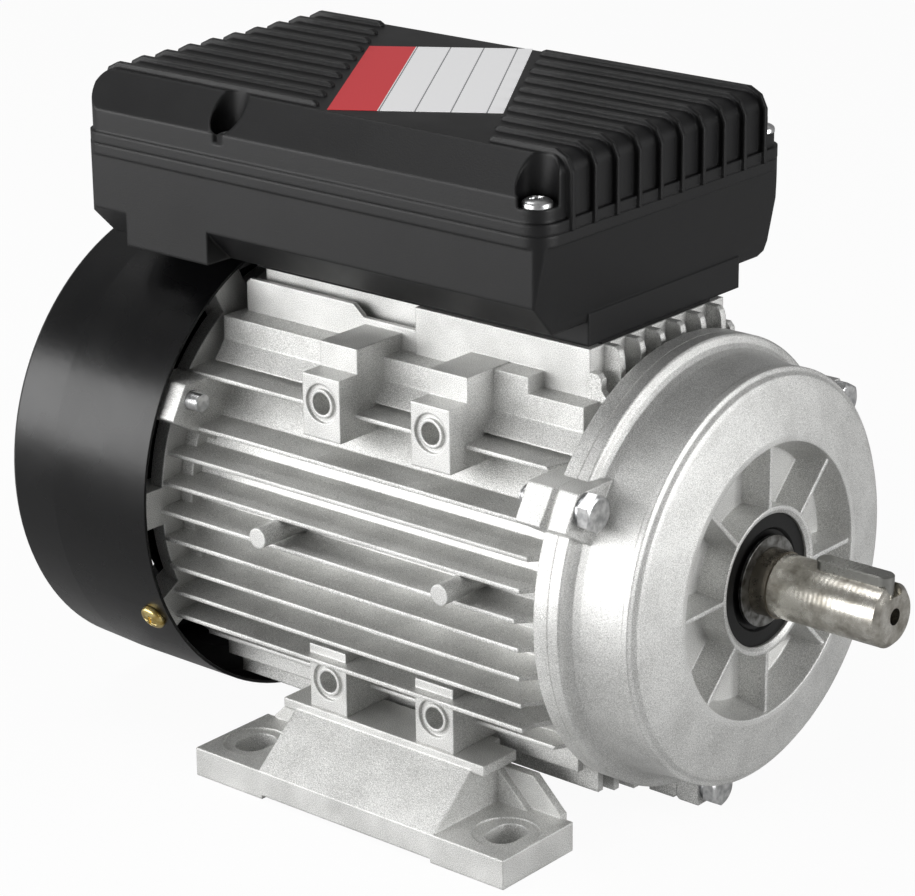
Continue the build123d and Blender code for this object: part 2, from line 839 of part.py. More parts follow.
with BuildPart() as fan_cover_screws:
    for angle in nub_angles:
        pipe(radial_plane(angle, cover_r, cover_screw_x), m5_head_r, 0, m5_head_h)
        pipe(radial_plane(angle, cover_r, cover_screw_x), m5_r, 0, -nub_width)
save(fan_cover_screws, "fan_cover_screws")

with BuildPart() as cooling_fan:
    pipe(section(fan_hub_x[0]), fan_hub_r, 0, fan_hub_x[1] - fan_hub_x[0])
    pipe(section(fan_disc_x[0]), fan_disc_r, 0, fan_disc_x[1] - fan_disc_x[0])
    for number in range(fan_blades):
        blade = (fan_hub_r - fan_blade_t, fan_tip_r)
        radial_block(number * 360 / fan_blades, blade, fan_blade_t, fan_blade_x)
    pipe(section(fan_hub_x[0]), fan_seat_r + fit_gap, 0, fan_hub_x[1] - fan_hub_x[0], Mode.SUBTRACT)
save(cooling_fan, "cooling_fan")

with BuildPart() as fan_circlip:
    pipe(section(circlip_x[0]), circlip_r[1], circlip_r[0] + running_gap, circlip_x[1] - circlip_x[0])
save(fan_circlip, "fan_circlip")

with BuildPart() as shaft:
    shaft_r = shaft_d / 2
    turned(
        [
            (shaft_rear_x, 0),
            (shaft_rear_x, fan_seat_r - end_chamfer / 2),
            (shaft_rear_x + end_chamfer / 2, fan_seat_r),
            (circlip_x[0] - running_gap, fan_seat_r),
            (circlip_x[0] - running_gap, circlip_r[0]),
            (circlip_x[1] + running_gap, circlip_r[0]),
            (circlip_x[1] + running_gap, fan_seat_r),
            (seat_rear_x[0], fan_seat_r),
            (seat_rear_x[0], journal_r),
            (seat_rear_x[1], journal_r),
            (seat_rear_x[1], collar_seat_r),
            (core_rear_x, collar_seat_r),
            (core_rear_x, core_seat_r),
            (core_stop_x, core_seat_r),
            (core_stop_x, collar_seat_r),
            (seat_front_x[0], collar_seat_r),
            (seat_front_x[0], journal_r),
            (seal_seat_end_x, journal_r),
            (seal_seat_end_x, shaft_r),
            (shaft_end_x - end_chamfer, shaft_r),
            (shaft_end_x, shaft_r - end_chamfer),
            (shaft_end_x, centre_hole_r),
            (shaft_end_x - centre_hole_depth, centre_hole_r),
            (shaft_end_x - centre_hole_depth - centre_hole_r, 0),
        ]
    )
    keyway_floor = axis_height + shaft_r - key_depth
    with BuildSketch(level(keyway_floor)) as keyway:
        with Locations((shaft_end_x, 0)):
            SlotOverall(2 * (shaft_end_x - key_from_x), key_width + 2 * fit_gap)
    extrude(keyway.sketch, amount=key_height, mode=Mode.SUBTRACT)
save(shaft, "shaft")

with BuildPart() as shaft_key:
    with BuildSketch(level(keyway_floor)):
        with Locations(((key_from_x + fit_gap + key_to_x) / 2, 0)):
            SlotOverall(key_to_x - key_from_x - fit_gap, key_width)
    extrude(amount=key_height)
    chamfer(shaft_key.edges().group_by(Axis.Z)[-1], length=end_chamfer / 4)
save(shaft_key, "shaft_key")

with BuildPart() as shaft_slinger:
    pipe(section(slinger_x[0]), slinger_r, journal_r + fit_gap, slinger_x[1] - slinger_x[0])
save(shaft_slinger, "shaft_slinger")

with BuildPart() as rotor_core:
    pipe(section(core_rear_x), rotor_r, core_seat_r + fit_gap, core_front_x - core_rear_x)
save(rotor_core, "rotor_core")

with BuildPart() as rotor_end_rings:
    for face, out in ((core_front_x, 1), (core_rear_x, -1)):
        pipe(section(face), end_ring_r[1], end_ring_r[0], out * end_ring_t)
        top = face + out * end_ring_t
        vane_x = sorted((top - out, top + out * ring_vane_h))
        for number in range(ring_vanes):
            vane = (end_ring_r[0] + 1, end_ring_r[1] - 1)
            radial_block(number * 360 / ring_vanes, vane, ring_vane_t, vane_x)
save(rotor_end_rings, "rotor_end_rings")

with BuildPart() as stator_core:
    pipe(section(core_rear_x), bore_r - fit_gap, stator_bore_r, core_front_x - core_rear_x)
    with BuildSketch(section(core_rear_x)) as slots:
        with PolarLocations((slot_r[0] + slot_r[1]) / 2, slot_count):
            Rectangle(slot_r[1] - slot_r[0], slot_w)
    extrude(slots.sketch, amount=core_front_x - core_rear_x, mode=Mode.SUBTRACT)
save(stator_core, "stator_core")

with BuildPart() as stator_windings:
    bar_x = (core_rear_x - winding_start - 1, core_front_x + winding_start + 1)
    with BuildSketch(section(bar_x[0])) as bars:
        with PolarLocations((slot_r[0] + slot_r[1]) / 2, slot_count):
            Rectangle(slot_r[1] - slot_r[0] - 2 * part_gap, slot_w - 2 * part_gap)
    extrude(bars.sketch, amount=bar_x[1] - bar_x[0])
    turned([(core_front_x + winding_start + x, r) for x, r in winding_profile])
    turned([(core_rear_x - winding_start - x, r) for x, r in winding_profile])
save(stator_windings, "stator_windings")

for name, start, outer in (
    ("front_bearing_inner", seat_front_x[0], False),
    ("front_bearing_outer", seat_front_x[0], True),
    ("rear_bearing_inner", seat_rear_x[0], False),
    ("rear_bearing_outer", seat_rear_x[0], True),
):
    width = seat_front_x[1] - seat_front_x[0]
    with BuildPart() as ring:
        if outer:
            pipe(section(start), bearing_r, bearing_outer_land_r, width)
        else:
            pipe(section(start), bearing_inner_land_r, journal_r + fit_gap, width)
        centre = (start + width / 2, ball_pitch_r)
        with BuildSketch(axis_plane) as groove:
            with Locations(centre):
                Circle(ball_r + ball_groove_gap)
        revolve(groove.sketch, axis=motor_axis, mode=Mode.SUBTRACT)
    save(ring, name)

for name, start in (("front_bearing", seat_front_x[0]), ("rear_bearing", seat_rear_x[0])):
    middle = start + (seat_front_x[1] - seat_front_x[0]) / 2
    centres = [
        (
            middle,
            ball_pitch_r * math.cos(2 * math.pi * number / ball_count),
            axis_height + ball_pitch_r * math.sin(2 * math.pi * number / ball_count),
        )
        for number in range(ball_count)
    ]
    with BuildPart() as balls:
        with Locations(*centres):
            Sphere(ball_r)
    save(balls, name + "_balls")
    with BuildPart() as cage:
        pipe(section(middle - cage_t / 2), cage_r[1], cage_r[0], cage_t)
        with Locations(*centres):
            Sphere(ball_r + cage_pocket_gap, mode=Mode.SUBTRACT)
    save(cage, name + "_cage")

with BuildPart() as wave_washer:
    pipe(section(wave_washer_x[0]), wave_washer_r[1], wave_washer_r[0], wave_washer_x[1] - wave_washer_x[0])
save(wave_washer, "wave_washer")

with BuildPart() as front_shaft_seal:
    turned([(seal_back_x + x, r) for x, r in seal_profile])
save(front_shaft_seal, "front_shaft_seal")

with BuildPart() as governor_plate:
    pipe(section(governor_plate_x[0]), governor_plate_r, 0, governor_plate_x[1] - governor_plate_x[0])
    for side in (-1, 1):
        for face in (-1, 1):
            lug_out = face * (weight_half_z + part_gap)
            span = sorted((axis_height + lug_out, axis_height + lug_out + face * hinge_lug_t))
            lug_x_span = (hinge_x - 2 * hinge_pin_r, governor_plate_x[1])
            reach = (hinge_y - 2 * hinge_pin_r, hinge_y + 2 * hinge_pin_r)
            block(lug_x_span, sorted((side * reach[0], side * reach[1])), span)
        hinge = Plane(origin=(hinge_x, side * hinge_y, axis_height), x_dir=(1, 0, 0), z_dir=(0, 0, 1))
        with BuildSketch(hinge) as pin_holes:
            Circle(hinge_pin_r + fit_gap)
        extrude(pin_holes.sketch, amount=weight_half_z + hinge_lug_t + 1, both=True, mode=Mode.SUBTRACT)
    plate_length = governor_plate_x[1] - governor_plate_x[0]
    pipe(section(governor_plate_x[0]), collar_seat_r + fit_gap, 0, plate_length, Mode.SUBTRACT)
save(governor_plate, "governor_plate")

with BuildPart() as governor_pins:
    for side in (-1, 1):
        hinge = Plane(origin=(hinge_x, side * hinge_y, axis_height), x_dir=(1, 0, 0), z_dir=(0, 0, 1))
        with BuildSketch(hinge) as pin:
            Circle(hinge_pin_r)
        extrude(pin.sketch, amount=weight_half_z + hinge_lug_t + part_gap, both=True)
save(governor_pins, "governor_pins")

for name, side in (("governor_weight_left", 1), ("governor_weight_right", -1)):
    with BuildPart() as weight:
        depth = (axis_height - weight_half_z, axis_height + weight_half_z)
        block(weight_mass_x, sorted((side * weight_mass_y[0], side * weight_mass_y[1])), depth)
        arm = sorted((side * weight_mass_y[0], side * (hinge_y + weight_boss_r)))
        block((hinge_x, weight_mass_x[0]), arm, depth)
        block(finger_x, sorted((side * finger_y, side * hinge_y)), depth)
        hinge = Plane(origin=(hinge_x, side * hinge_y, axis_height), x_dir=(1, 0, 0), z_dir=(0, 0, 1))
        with BuildSketch(hinge) as boss:
            Circle(weight_boss_r)
        extrude(boss.sketch, amount=weight_half_z, both=True)
        with BuildSketch(hinge) as pin_hole:
            Circle(hinge_pin_r + running_gap)
        extrude(pin_hole.sketch, amount=weight_half_z, both=True, mode=Mode.SUBTRACT)
    save(weight, name)

with BuildPart() as governor_collar:
    pipe(section(collar_x[0]), collar_tube_r, 0, collar_x[1] - collar_x[0])
    pipe(section(collar_x[0]), collar_disc_r, 0, collar_disc_t)
    pipe(section(collar_lip_x[0]), collar_lip_r, 0, collar_lip_x[1] - collar_lip_x[0])
    pipe(section(collar_x[0]), collar_seat_r + running_gap, 0, collar_x[1] - collar_x[0], Mode.SUBTRACT)
save(governor_collar, "governor_collar")

with BuildPart() as switch_board:
    pipe(section(board_x[0]), board_r[1], board_r[0], board_x[1] - board_x[0])
    for face in (-1, 1):
        near = face * (arm_half_y + part_gap)
        block(
            (board_x[0], lug_x),
            sorted((near, near + face * lug_t)),
            (axis_height + lug_z[0], axis_height + lug_z[1]),
        )
    pivot = Plane(origin=(arm_pivot[0], 0, axis_height + arm_pivot[1]), x_dir=(1, 0, 0), z_dir=(0, -1, 0))
    with BuildSketch(pivot) as arm_pin:
        Circle(arm_pin_r)
    extrude(arm_pin.sketch, amount=arm_half_y + part_gap + lug_t, both=True)
save(switch_board, "switch_board")

with BuildPart() as switch_arm:
    block(arm_x, (-arm_half_y, arm_half_y), (axis_height + arm_low, axis_height + arm_pivot[1]))
    with BuildSketch(pivot) as arm_boss:
        Circle(arm_boss_r)
    extrude(arm_boss.sketch, amount=arm_half_y, both=True)
    with BuildSketch(pivot) as arm_hole:
        Circle(arm_pin_r + running_gap)
    extrude(arm_hole.sketch, amount=arm_half_y, both=True, mode=Mode.SUBTRACT)
save(switch_arm, "switch_arm")

with BuildPart() as terminal_box_base:
    slab(section(box_x[0]), base_section, box_x[1] - box_x[0])
    slab(side_on(0), base_side, 2 * box_y, both=True, mode=Mode.INTERSECT)
    with BuildSketch(level(rim_low_z)):
        with Locations(((rim_x[0] + rim_x[1]) / 2, 0)):
            RectangleRounded(rim_x[1] - rim_x[0], 2 * rim_y, box_corner_r)
    extrude(amount=split_z - rim_low_z)
    with BuildSketch(level(pedestal_top_z)) as plan:
        with Locations(((box_x[0] + box_x[1]) / 2, 0)):
            RectangleRounded(rim_x[1] - rim_x[0], 2 * rim_y, box_corner_r)
    extrude(amount=split_z, mode=Mode.INTERSECT)
    fill = [
        (fill_x[1], base_section[2][1]),
        (fill_x[1], fill_rise),
        (fill_curve_x, fill_rise),
        ((fill_curve_x + fill_x[0]) / 2, fill_rise - 1),
        (fill_x[0], fill_rise - 3),
        (fill_x[0], base_section[2][1]),
    ]
    slab(side_on((fill_y[0] + fill_y[1]) / 2), fill, (fill_y[1] - fill_y[0]) / 2, both=True)
    block(neck_x, neck_y, (pedestal_top_z + gasket_t, box_floor_z + box_wall))
    for y_span, z_span in (
        (cavity_low_y, (box_floor_z + box_wall, cavity_step_z)),
        ((-box_y + box_wall, box_y - box_wall), (cavity_step_z, split_z)),
    ):
        with BuildSketch(level(z_span[0])) as room:
            with Locations(((box_x[0] + box_x[1]) / 2, (y_span[0] + y_span[1]) / 2)):
                Rectangle(box_x[1] - box_x[0] - 3 * box_wall, y_span[1] - y_span[0])
            with Locations(*lid_spots):
                Circle(pillar_r, mode=Mode.SUBTRACT)
        extrude(room.sketch, amount=z_span[1] - z_span[0], mode=Mode.SUBTRACT)
    block(wire_hole_x, (-wire_hole_y, wire_hole_y), (pedestal_top_z, cavity_step_z), Mode.SUBTRACT)
    with BuildSketch(level(pedestal_top_z)) as screw_holes:
        with Locations(*box_screw_spots):
            Circle(m5_clear_r)
    extrude(screw_holes.sketch, amount=cavity_step_z - pedestal_top_z, mode=Mode.SUBTRACT)
    with BuildSketch(level(split_z)) as pillar_holes:
        with Locations(*lid_spots):
            Circle(lid_screw_r + fit_gap)
    extrude(pillar_holes.sketch, amount=lid_screw_tip_z - split_z - 1, mode=Mode.SUBTRACT)
    gland_face = Plane(origin=(gland_x, box_y, gland_z), x_dir=(1, 0, 0), z_dir=(0, -1, 0))
    pipe(gland_face, gland_pad_r, 0, box_y - gland_pad_y)
    pipe(gland_face, gland_thread_r + part_gap / 2, 0, box_y - gland_pad_y, Mode.SUBTRACT)
save(terminal_box_base, "terminal_box_base")

with BuildPart() as terminal_box_lid:
    lid_section = [
        (-lid_y, split_z - axis_height),
        (-lid_y, lid_band_z - axis_height),
        (-lid_top_y, lid_top_z - axis_height),
        (lid_top_y, lid_top_z - axis_height),
        (lid_y, lid_band_z - axis_height),
        (lid_y, split_z - axis_height),
    ]
    slab(section(box_x[0]), lid_section, box_x[1] - box_x[0])
    with BuildSketch(upright(0)) as lid_side:
        with BuildLine():
            Polyline(
                (box_x[0], split_z),
                (box_x[0], lid_top_z),
                (box_x[1], lid_top_z),
                (box_x[1], split_z),
                close=True,
            )
        make_face()
        fillet(lid_side.vertices().group_by(Axis.Y)[-1], radius=lid_edge_r)
    extrude(lid_side.sketch, amount=2 * box_y, both=True, mode=Mode.INTERSECT)
    with BuildSketch(level(split_z)) as lid_plan:
        with Locations(((box_x[0] + box_x[1]) / 2, 0)):
            RectangleRounded(box_x[1] - box_x[0], 2 * lid_y, box_corner_r - 1)
    extrude(lid_plan.sketch, amount=lid_top_z - split_z, mode=Mode.INTERSECT)
    with BuildSketch(level(split_z)) as lip:
        with Locations(((rim_x[0] + rim_x[1]) / 2, 0)):
            RectangleRounded(rim_x[1] - rim_x[0], 2 * rim_y, box_corner_r)
    extrude(lip.sketch, amount=lid_lip_z - split_z)
    crest = lid_top_z + rib_h
    for number in range(rib_count):
        y = (number - (rib_count - 1) / 2) * rib_pitch
        for start, end, wall_x in (
            (band_front_x - band_slope * y, rib_front_x, box_x[1]),
            (band_rear_x - band_slope * y, rib_rear_x, box_x[0]),
        ):
            out = 1 if end > start else -1
            rib = [
                (start, lid_top_z - 1),
                (start, lid_top_z + rib_h / 2),
                (start + out * rib_h, crest),
                (end - out * rib_round, crest),
                (end - out * rib_round / 3, crest - rib_round / 3),
                (end, crest - rib_round),
                (end, split_z),
                (wall_x - out, split_z),
                (wall_x - out, crest - rib_round - 1),
                (wall_x - out * rib_round, lid_top_z - 1),
            ]
            slab(upright(y), rib, rib_t / 2, both=True)
    for y_half, x_in, z_span in (
        (lid_y - lid_wall, lid_wall, (split_z, lid_band_z - 2)),
        (lid_top_y - lid_wall, 2 * lid_wall, (lid_band_z - 2, lid_top_z - lid_wall)),
    ):
        with BuildSketch(level(z_span[0])) as room:
            with Locations(((box_x[0] + box_x[1]) / 2, 0)):
                Rectangle(box_x[1] - box_x[0] - 2 * x_in, 2 * y_half)
            with Locations(*lid_spots):
                Circle(pocket_post_r, mode=Mode.SUBTRACT)
        extrude(room.sketch, amount=z_span[1] - z_span[0], mode=Mode.SUBTRACT)
    with BuildSketch(level(pocket_floor_z)) as pockets:
        with Locations(*lid_spots):
            Circle(pocket_r)
    extrude(pockets.sketch, amount=crest - pocket_floor_z, mode=Mode.SUBTRACT)
    with BuildSketch(level(split_z)) as lid_holes:
        with Locations(*lid_spots):
            Circle(lid_screw_r + play_gap)
    extrude(lid_holes.sketch, amount=pocket_floor_z - split_z, mode=Mode.SUBTRACT)
save(terminal_box_lid, "terminal_box_lid")

with BuildPart() as lid_screws:
    with BuildSketch(level(pocket_floor_z)):
        with Locations(*lid_spots):
            Circle(lid_screw_head_r)
    extrude(amount=lid_screw_head_h)
    with BuildSketch(level(pocket_floor_z)):
        with Locations(*lid_spots):
            Circle(lid_screw_r)
    extrude(amount=lid_screw_tip_z - pocket_floor_z)
save(lid_screws, "lid_screws")

with BuildPart() as box_gasket:
    gasket_z = (pedestal_top_z, pedestal_top_z + gasket_t)
    block(neck_x, (-pedestal_rear_y, pedestal_rear_y), gasket_z)
    block(wire_hole_x, (-wire_hole_y, wire_hole_y), gasket_z, Mode.SUBTRACT)
    with BuildSketch(level(pedestal_top_z)):
        with Locations(*box_screw_spots):
            Circle(m5_clear_r)
    extrude(amount=gasket_t, mode=Mode.SUBTRACT)
save(box_gasket, "box_gasket")

with BuildPart() as box_screws:
    with BuildSketch(level(box_floor_z + box_wall)):
        with Locations(*box_screw_spots):
            Circle(m5_head_r)
    extrude(amount=m5_head_h)
    with BuildSketch(level(box_floor_z + box_wall)):
        with Locations(*box_screw_spots):
            Circle(m5_r)
    extrude(amount=pedestal_top_z - box_screw_depth + play_gap - box_floor_z - box_wall)
save(box_screws, "box_screws")

box_inside_z = box_floor_z + box_wall
for name, y, radius in (
    ("start_capacitor", start_capacitor_y, start_capacitor_r),
    ("run_capacitor", run_capacitor_y, run_capacitor_r),
):
    with BuildPart() as capacitor:
        centre_z = box_inside_z + radius + capacitor_gap
        end = Plane(origin=(capacitor_x[0], y, centre_z), x_dir=(0, 1, 0), z_dir=(1, 0, 0))
        pipe(end, radius, 0, capacitor_x[1] - capacitor_x[0])
        for tag in (-1, 1):
            mid = y + tag * radius / 3
            block(
                (capacitor_x[1], capacitor_x[1] + tag_l),
                (mid - tag_t / 2, mid + tag_t / 2),
                (centre_z - tag_w / 2, centre_z + tag_w / 2),
            )
    save(capacitor, name)

with BuildPart() as capacitor_straps:
    for y, radius in ((start_capacitor_y, start_capacitor_r), (run_capacitor_y, run_capacitor_r)):
        centre_z = box_inside_z + radius + capacitor_gap
        inner = radius + capacitor_gap / 2
        for x in strap_xs:
            face = Plane(origin=(x - strap_w / 2, y, centre_z), x_dir=(0, 1, 0), z_dir=(1, 0, 0))
            low = box_inside_z - centre_z
            with BuildSketch(face) as strap:
                Circle(inner + strap_t)
                with Locations((0, low / 2)):
                    Rectangle(2 * (inner + strap_t), -low)
                with Locations((0, low + strap_t / 2)):
                    Rectangle(2 * (inner + strap_t + strap_foot), strap_t)
                Circle(inner, mode=Mode.SUBTRACT)
                with Locations((0, low / 2)):
                    Rectangle(2 * inner, -low, mode=Mode.SUBTRACT)
                with Locations((0, low - radius)):
                    Rectangle(4 * radius, 2 * radius, mode=Mode.SUBTRACT)
            extrude(strap.sketch, amount=strap_w)
save(capacitor_straps, "capacitor_straps")

with BuildPart() as terminal_block:
    block(board_block_x, (-board_block_y, board_block_y), (box_inside_z, box_inside_z + board_block_h))
    top_z = box_inside_z + board_block_h
    with BuildSketch(level(top_z)) as sockets:
        with Locations(*stud_spots):
            Circle(terminal_r + fit_gap)
    extrude(sockets.sketch, amount=-terminal_sink, mode=Mode.SUBTRACT)
save(terminal_block, "terminal_block")

with BuildPart() as terminal_studs:
    with BuildSketch(level(top_z - terminal_sink)):
        with Locations(*stud_spots):
            Circle(terminal_r)
    extrude(amount=terminal_sink + terminal_h)
save(terminal_studs, "terminal_studs")

link_x = [min(x for x, y in stud_spots), max(x for x, y in stud_spots)]
with BuildPart() as terminal_links:
    for y in sorted({y for x, y in stud_spots})[:2]:
        block(
            (link_x[0] - link_w / 2, link_x[1] + link_w / 2),
            (y - link_w / 2, y + link_w / 2),
            (top_z, top_z + link_t),
        )
    with BuildSketch(level(top_z)) as link_holes:
        with Locations(*stud_spots):
            Circle(terminal_r + fit_gap)
    extrude(link_holes.sketch, amount=link_t, mode=Mode.SUBTRACT)
save(terminal_links, "terminal_links")

with BuildPart() as terminal_nuts:
    for number, (x, y) in enumerate(stud_spots):
        linked = y < max(spot[1] for spot in stud_spots)
        with BuildSketch(level(top_z + (link_t if linked else 0))) as nut:
            with Locations((x, y)):
                RegularPolygon(terminal_nut_af / 2, 6, major_radius=False)
                Circle(terminal_r + fit_gap, mode=Mode.SUBTRACT)
        extrude(nut.sketch, amount=terminal_nut_h)
save(terminal_nuts, "terminal_nuts")


def gland_plane(y):
    """Plane across the cable gland at y, extruding outwards."""
    return Plane(origin=(gland_x, y, gland_z), x_dir=(1, 0, 0), z_dir=(0, 1, 0))


with BuildPart() as cable_gland:
    with BuildSketch(gland_plane(box_y)) as hexagon:
        RegularPolygon(gland_hex_af / 2, 6, major_radius=False)
    extrude(hexagon.sketch, amount=gland_hex_t)
    pipe(gland_plane(gland_thread_y), gland_thread_r, 0, box_y - gland_thread_y)
    pipe(gland_plane(box_y + gland_hex_t), gland_dome_r, 0, gland_end_y - box_y - gland_hex_t)
    chamfer(cable_gland.edges().group_by(Axis.Y)[-1], length=gland_chamfer)
    pipe(gland_plane(gland_thread_y), gland_bore_r, 0, gland_end_y - gland_thread_y, Mode.SUBTRACT)
save(cable_gland, "cable_gland")

with BuildPart() as gland_nut:
    with BuildSketch(gland_plane(gland_pad_y - gland_nut_t)) as nut:
        RegularPolygon(gland_hex_af / 2, 6, major_radius=False)
        Circle(gland_thread_r + fit_gap, mode=Mode.SUBTRACT)
    extrude(nut.sketch, amount=gland_nut_t)
save(gland_nut, "gland_nut")
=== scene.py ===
import math

import bmesh
import bpy
import numpy as np
from mathutils import Matrix, Vector


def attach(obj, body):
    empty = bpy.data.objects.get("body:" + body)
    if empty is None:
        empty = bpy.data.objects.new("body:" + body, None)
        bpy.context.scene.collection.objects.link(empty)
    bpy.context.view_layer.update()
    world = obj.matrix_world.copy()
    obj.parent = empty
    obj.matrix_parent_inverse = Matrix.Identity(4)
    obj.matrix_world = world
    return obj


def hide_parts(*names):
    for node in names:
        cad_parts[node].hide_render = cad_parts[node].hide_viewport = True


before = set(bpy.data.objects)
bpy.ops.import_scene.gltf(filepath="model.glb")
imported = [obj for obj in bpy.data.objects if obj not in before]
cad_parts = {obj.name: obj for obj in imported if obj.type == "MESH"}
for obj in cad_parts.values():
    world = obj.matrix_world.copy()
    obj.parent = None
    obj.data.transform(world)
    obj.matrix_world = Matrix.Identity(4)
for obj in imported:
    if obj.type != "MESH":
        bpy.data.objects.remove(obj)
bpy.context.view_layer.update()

# Studio. The camera sees the motor through a long lens from where the photograph was taken. A
# large soft light stands low in front, a weaker one off the drive end and a small one overhead.
# Floor and sky are white to the camera, and mirroring surfaces see a part of that white.
CAMERA_PLACE = (0.59302, -0.72375, 0.43595)
CAMERA_RIGHT = (0.76548, 0.64337, -0.01034)
CAMERA_UP = (-0.21050, 0.26557, 0.94083)
CAMERA_BACK = (0.60805, -0.71801, 0.33872)
CAMERA_LENS_MM = 128.6
CAMERA_REACH_M = 20.0
SENSOR_MM = 36.0
FLOOR_HALF_M = 4.0
FLOOR_SEEN = "#F4F4F4"
FLOOR_BOUNCE = "#C4C4C4"
PURE_WHITE = "#FFFFFF"
WHITE_STRENGTH = 1.0
SKY_STRENGTH = 0.12
MIRRORED_SKY_SHARE = 0.14
FLOOR_WHITE_SHARE = 0.95
MIRRORED_FLOOR_SHARE = 0.1
LIGHTS = (
    ("low front softbox", (-0.75, -1.35, 0.38), (2.1, 0.75), 30.0),
    ("drive side softbox", (1.6, 0.35, 0.42), (0.9, 0.8), 19.0),
    ("overhead strip", (-0.62, -0.22, 1.35), (0.5, 0.5), 4.5),
)
LIGHT_AIM = (0.0, 0.0, 0.10)


def linear(colour):
    """Linear RGBA of an sRGB hex colour."""
    parts = [int(colour[i : i + 2], 16) / 255 for i in (1, 3, 5)]
    parts = [p / 12.92 if p <= 0.04045 else ((p + 0.055) / 1.055) ** 2.4 for p in parts]
    return (*parts, 1.0)


def add_node(tree, kind, inputs=None, **settings):
    """Adds one node with its settings; an input is a value, or another node's socket to link."""
    new = tree.nodes.new(kind)
    for key, value in settings.items():
        setattr(new, key, value)
    for key, value in (inputs or {}).items():
        if isinstance(value, bpy.types.NodeSocket):
            tree.links.new(value, new.inputs[key])
        else:
            new.inputs[key].default_value = value
    return new


def bare_material(name):
    """A new material with an empty node tree and an output node."""
    material = bpy.data.materials.new(name)
    material.use_nodes = True
    material.node_tree.nodes.clear()
    return material, material.node_tree, material.node_tree.nodes.new("ShaderNodeOutputMaterial")


camera = bpy.data.objects.new("camera", bpy.data.cameras.new("camera"))
camera.data.sensor_fit = "HORIZONTAL"
camera.data.sensor_width = SENSOR_MM
camera.data.lens = CAMERA_LENS_MM
camera.data.clip_end = CAMERA_REACH_M
turn = Matrix((CAMERA_RIGHT, CAMERA_UP, CAMERA_BACK)).transposed()
camera.matrix_world = Matrix.Translation(CAMERA_PLACE) @ turn.to_4x4()
bpy.context.scene.collection.objects.link(camera)
bpy.context.scene.camera = camera

for light_name, place, size, watts in LIGHTS:
    lamp = bpy.data.lights.new(light_name, "AREA")
    lamp.shape = "RECTANGLE"
    lamp.size, lamp.size_y = size
    lamp.energy = watts
    light = bpy.data.objects.new(light_name, lamp)
    facing = (Vector(LIGHT_AIM) - Vector(place)).to_track_quat("-Z", "Y")
    light.matrix_world = Matrix.Translation(place) @ facing.to_matrix().to_4x4()
    bpy.context.scene.collection.objects.link(light)

world = bpy.data.worlds.new("studio sky")
world.use_nodes = True
world.node_tree.nodes.clear()
sky = world.node_tree
rays = add_node(sky, "ShaderNodeLightPath")
sky_light = add_node(
    sky, "ShaderNodeBackground", {"Color": linear(PURE_WHITE), "Strength": SKY_STRENGTH}
)
sky_seen = add_node(
    sky, "ShaderNodeBackground", {"Color": linear(PURE_WHITE), "Strength": WHITE_STRENGTH}
)
bent_rays = add_node(
    sky,
    "ShaderNodeMath",
    {0: rays.outputs["Is Glossy Ray"], 1: rays.outputs["Is Transmission Ray"]},
    operation="ADD",
)
white_share = add_node(
    sky,
    "ShaderNodeMath",
    {0: bent_rays.outputs[0], 1: MIRRORED_SKY_SHARE, 2: rays.outputs["Is Camera Ray"]},
    operation="MULTIPLY_ADD",
)
sky_mix = add_node(
    sky,
    "ShaderNodeMixShader",
    {0: white_share.outputs[0], 1: sky_light.outputs[0], 2: sky_seen.outputs[0]},
)
add_node(sky, "ShaderNodeOutputWorld", {"Surface": sky_mix.outputs[0]})
bpy.context.scene.world = world
bpy.context.scene.view_settings.view_transform = "Standard"

floor_mesh = bpy.data.meshes.new("floor")
reach = FLOOR_HALF_M
floor_mesh.from_pydata(
    [(-reach, -reach, 0), (reach, -reach, 0), (reach, reach, 0), (-reach, reach, 0)],
    [],
    [(0, 1, 2, 3)],
)
floor = bpy.data.objects.new("floor", floor_mesh)
bpy.context.scene.collection.objects.link(floor)
floor_paper, tree, output = bare_material("white floor paper")
rays = add_node(tree, "ShaderNodeLightPath")
tint = add_node(
    tree,
    "ShaderNodeMix",
    {"Factor": rays.outputs["Is Camera Ray"], 6: linear(FLOOR_BOUNCE), 7: linear(FLOOR_SEEN)},
    data_type="RGBA",
)
matte = add_node(tree, "ShaderNodeBsdfDiffuse", {"Color": tint.outputs[2]})
glow = add_node(
    tree, "ShaderNodeEmission", {"Color": linear(PURE_WHITE), "Strength": WHITE_STRENGTH}
)
seen_share = add_node(
    tree,
    "ShaderNodeMath",
    {0: rays.outputs["Is Camera Ray"], 1: FLOOR_WHITE_SHARE},
    operation="MULTIPLY",
)
bent_rays = add_node(
    tree,
    "ShaderNodeMath",
    {0: rays.outputs["Is Glossy Ray"], 1: rays.outputs["Is Transmission Ray"]},
    operation="ADD",
)
share = add_node(
    tree,
    "ShaderNodeMath",
    {0: bent_rays.outputs[0], 1: MIRRORED_FLOOR_SHARE, 2: seen_share.outputs[0]},
    operation="MULTIPLY_ADD",
)
paper = add_node(
    tree, "ShaderNodeMixShader", {0: share.outputs[0], 1: matte.outputs[0], 2: glow.outputs[0]}
)
tree.links.new(paper.outputs[0], output.inputs["Surface"])
floor_mesh.materials.append(floor_paper)

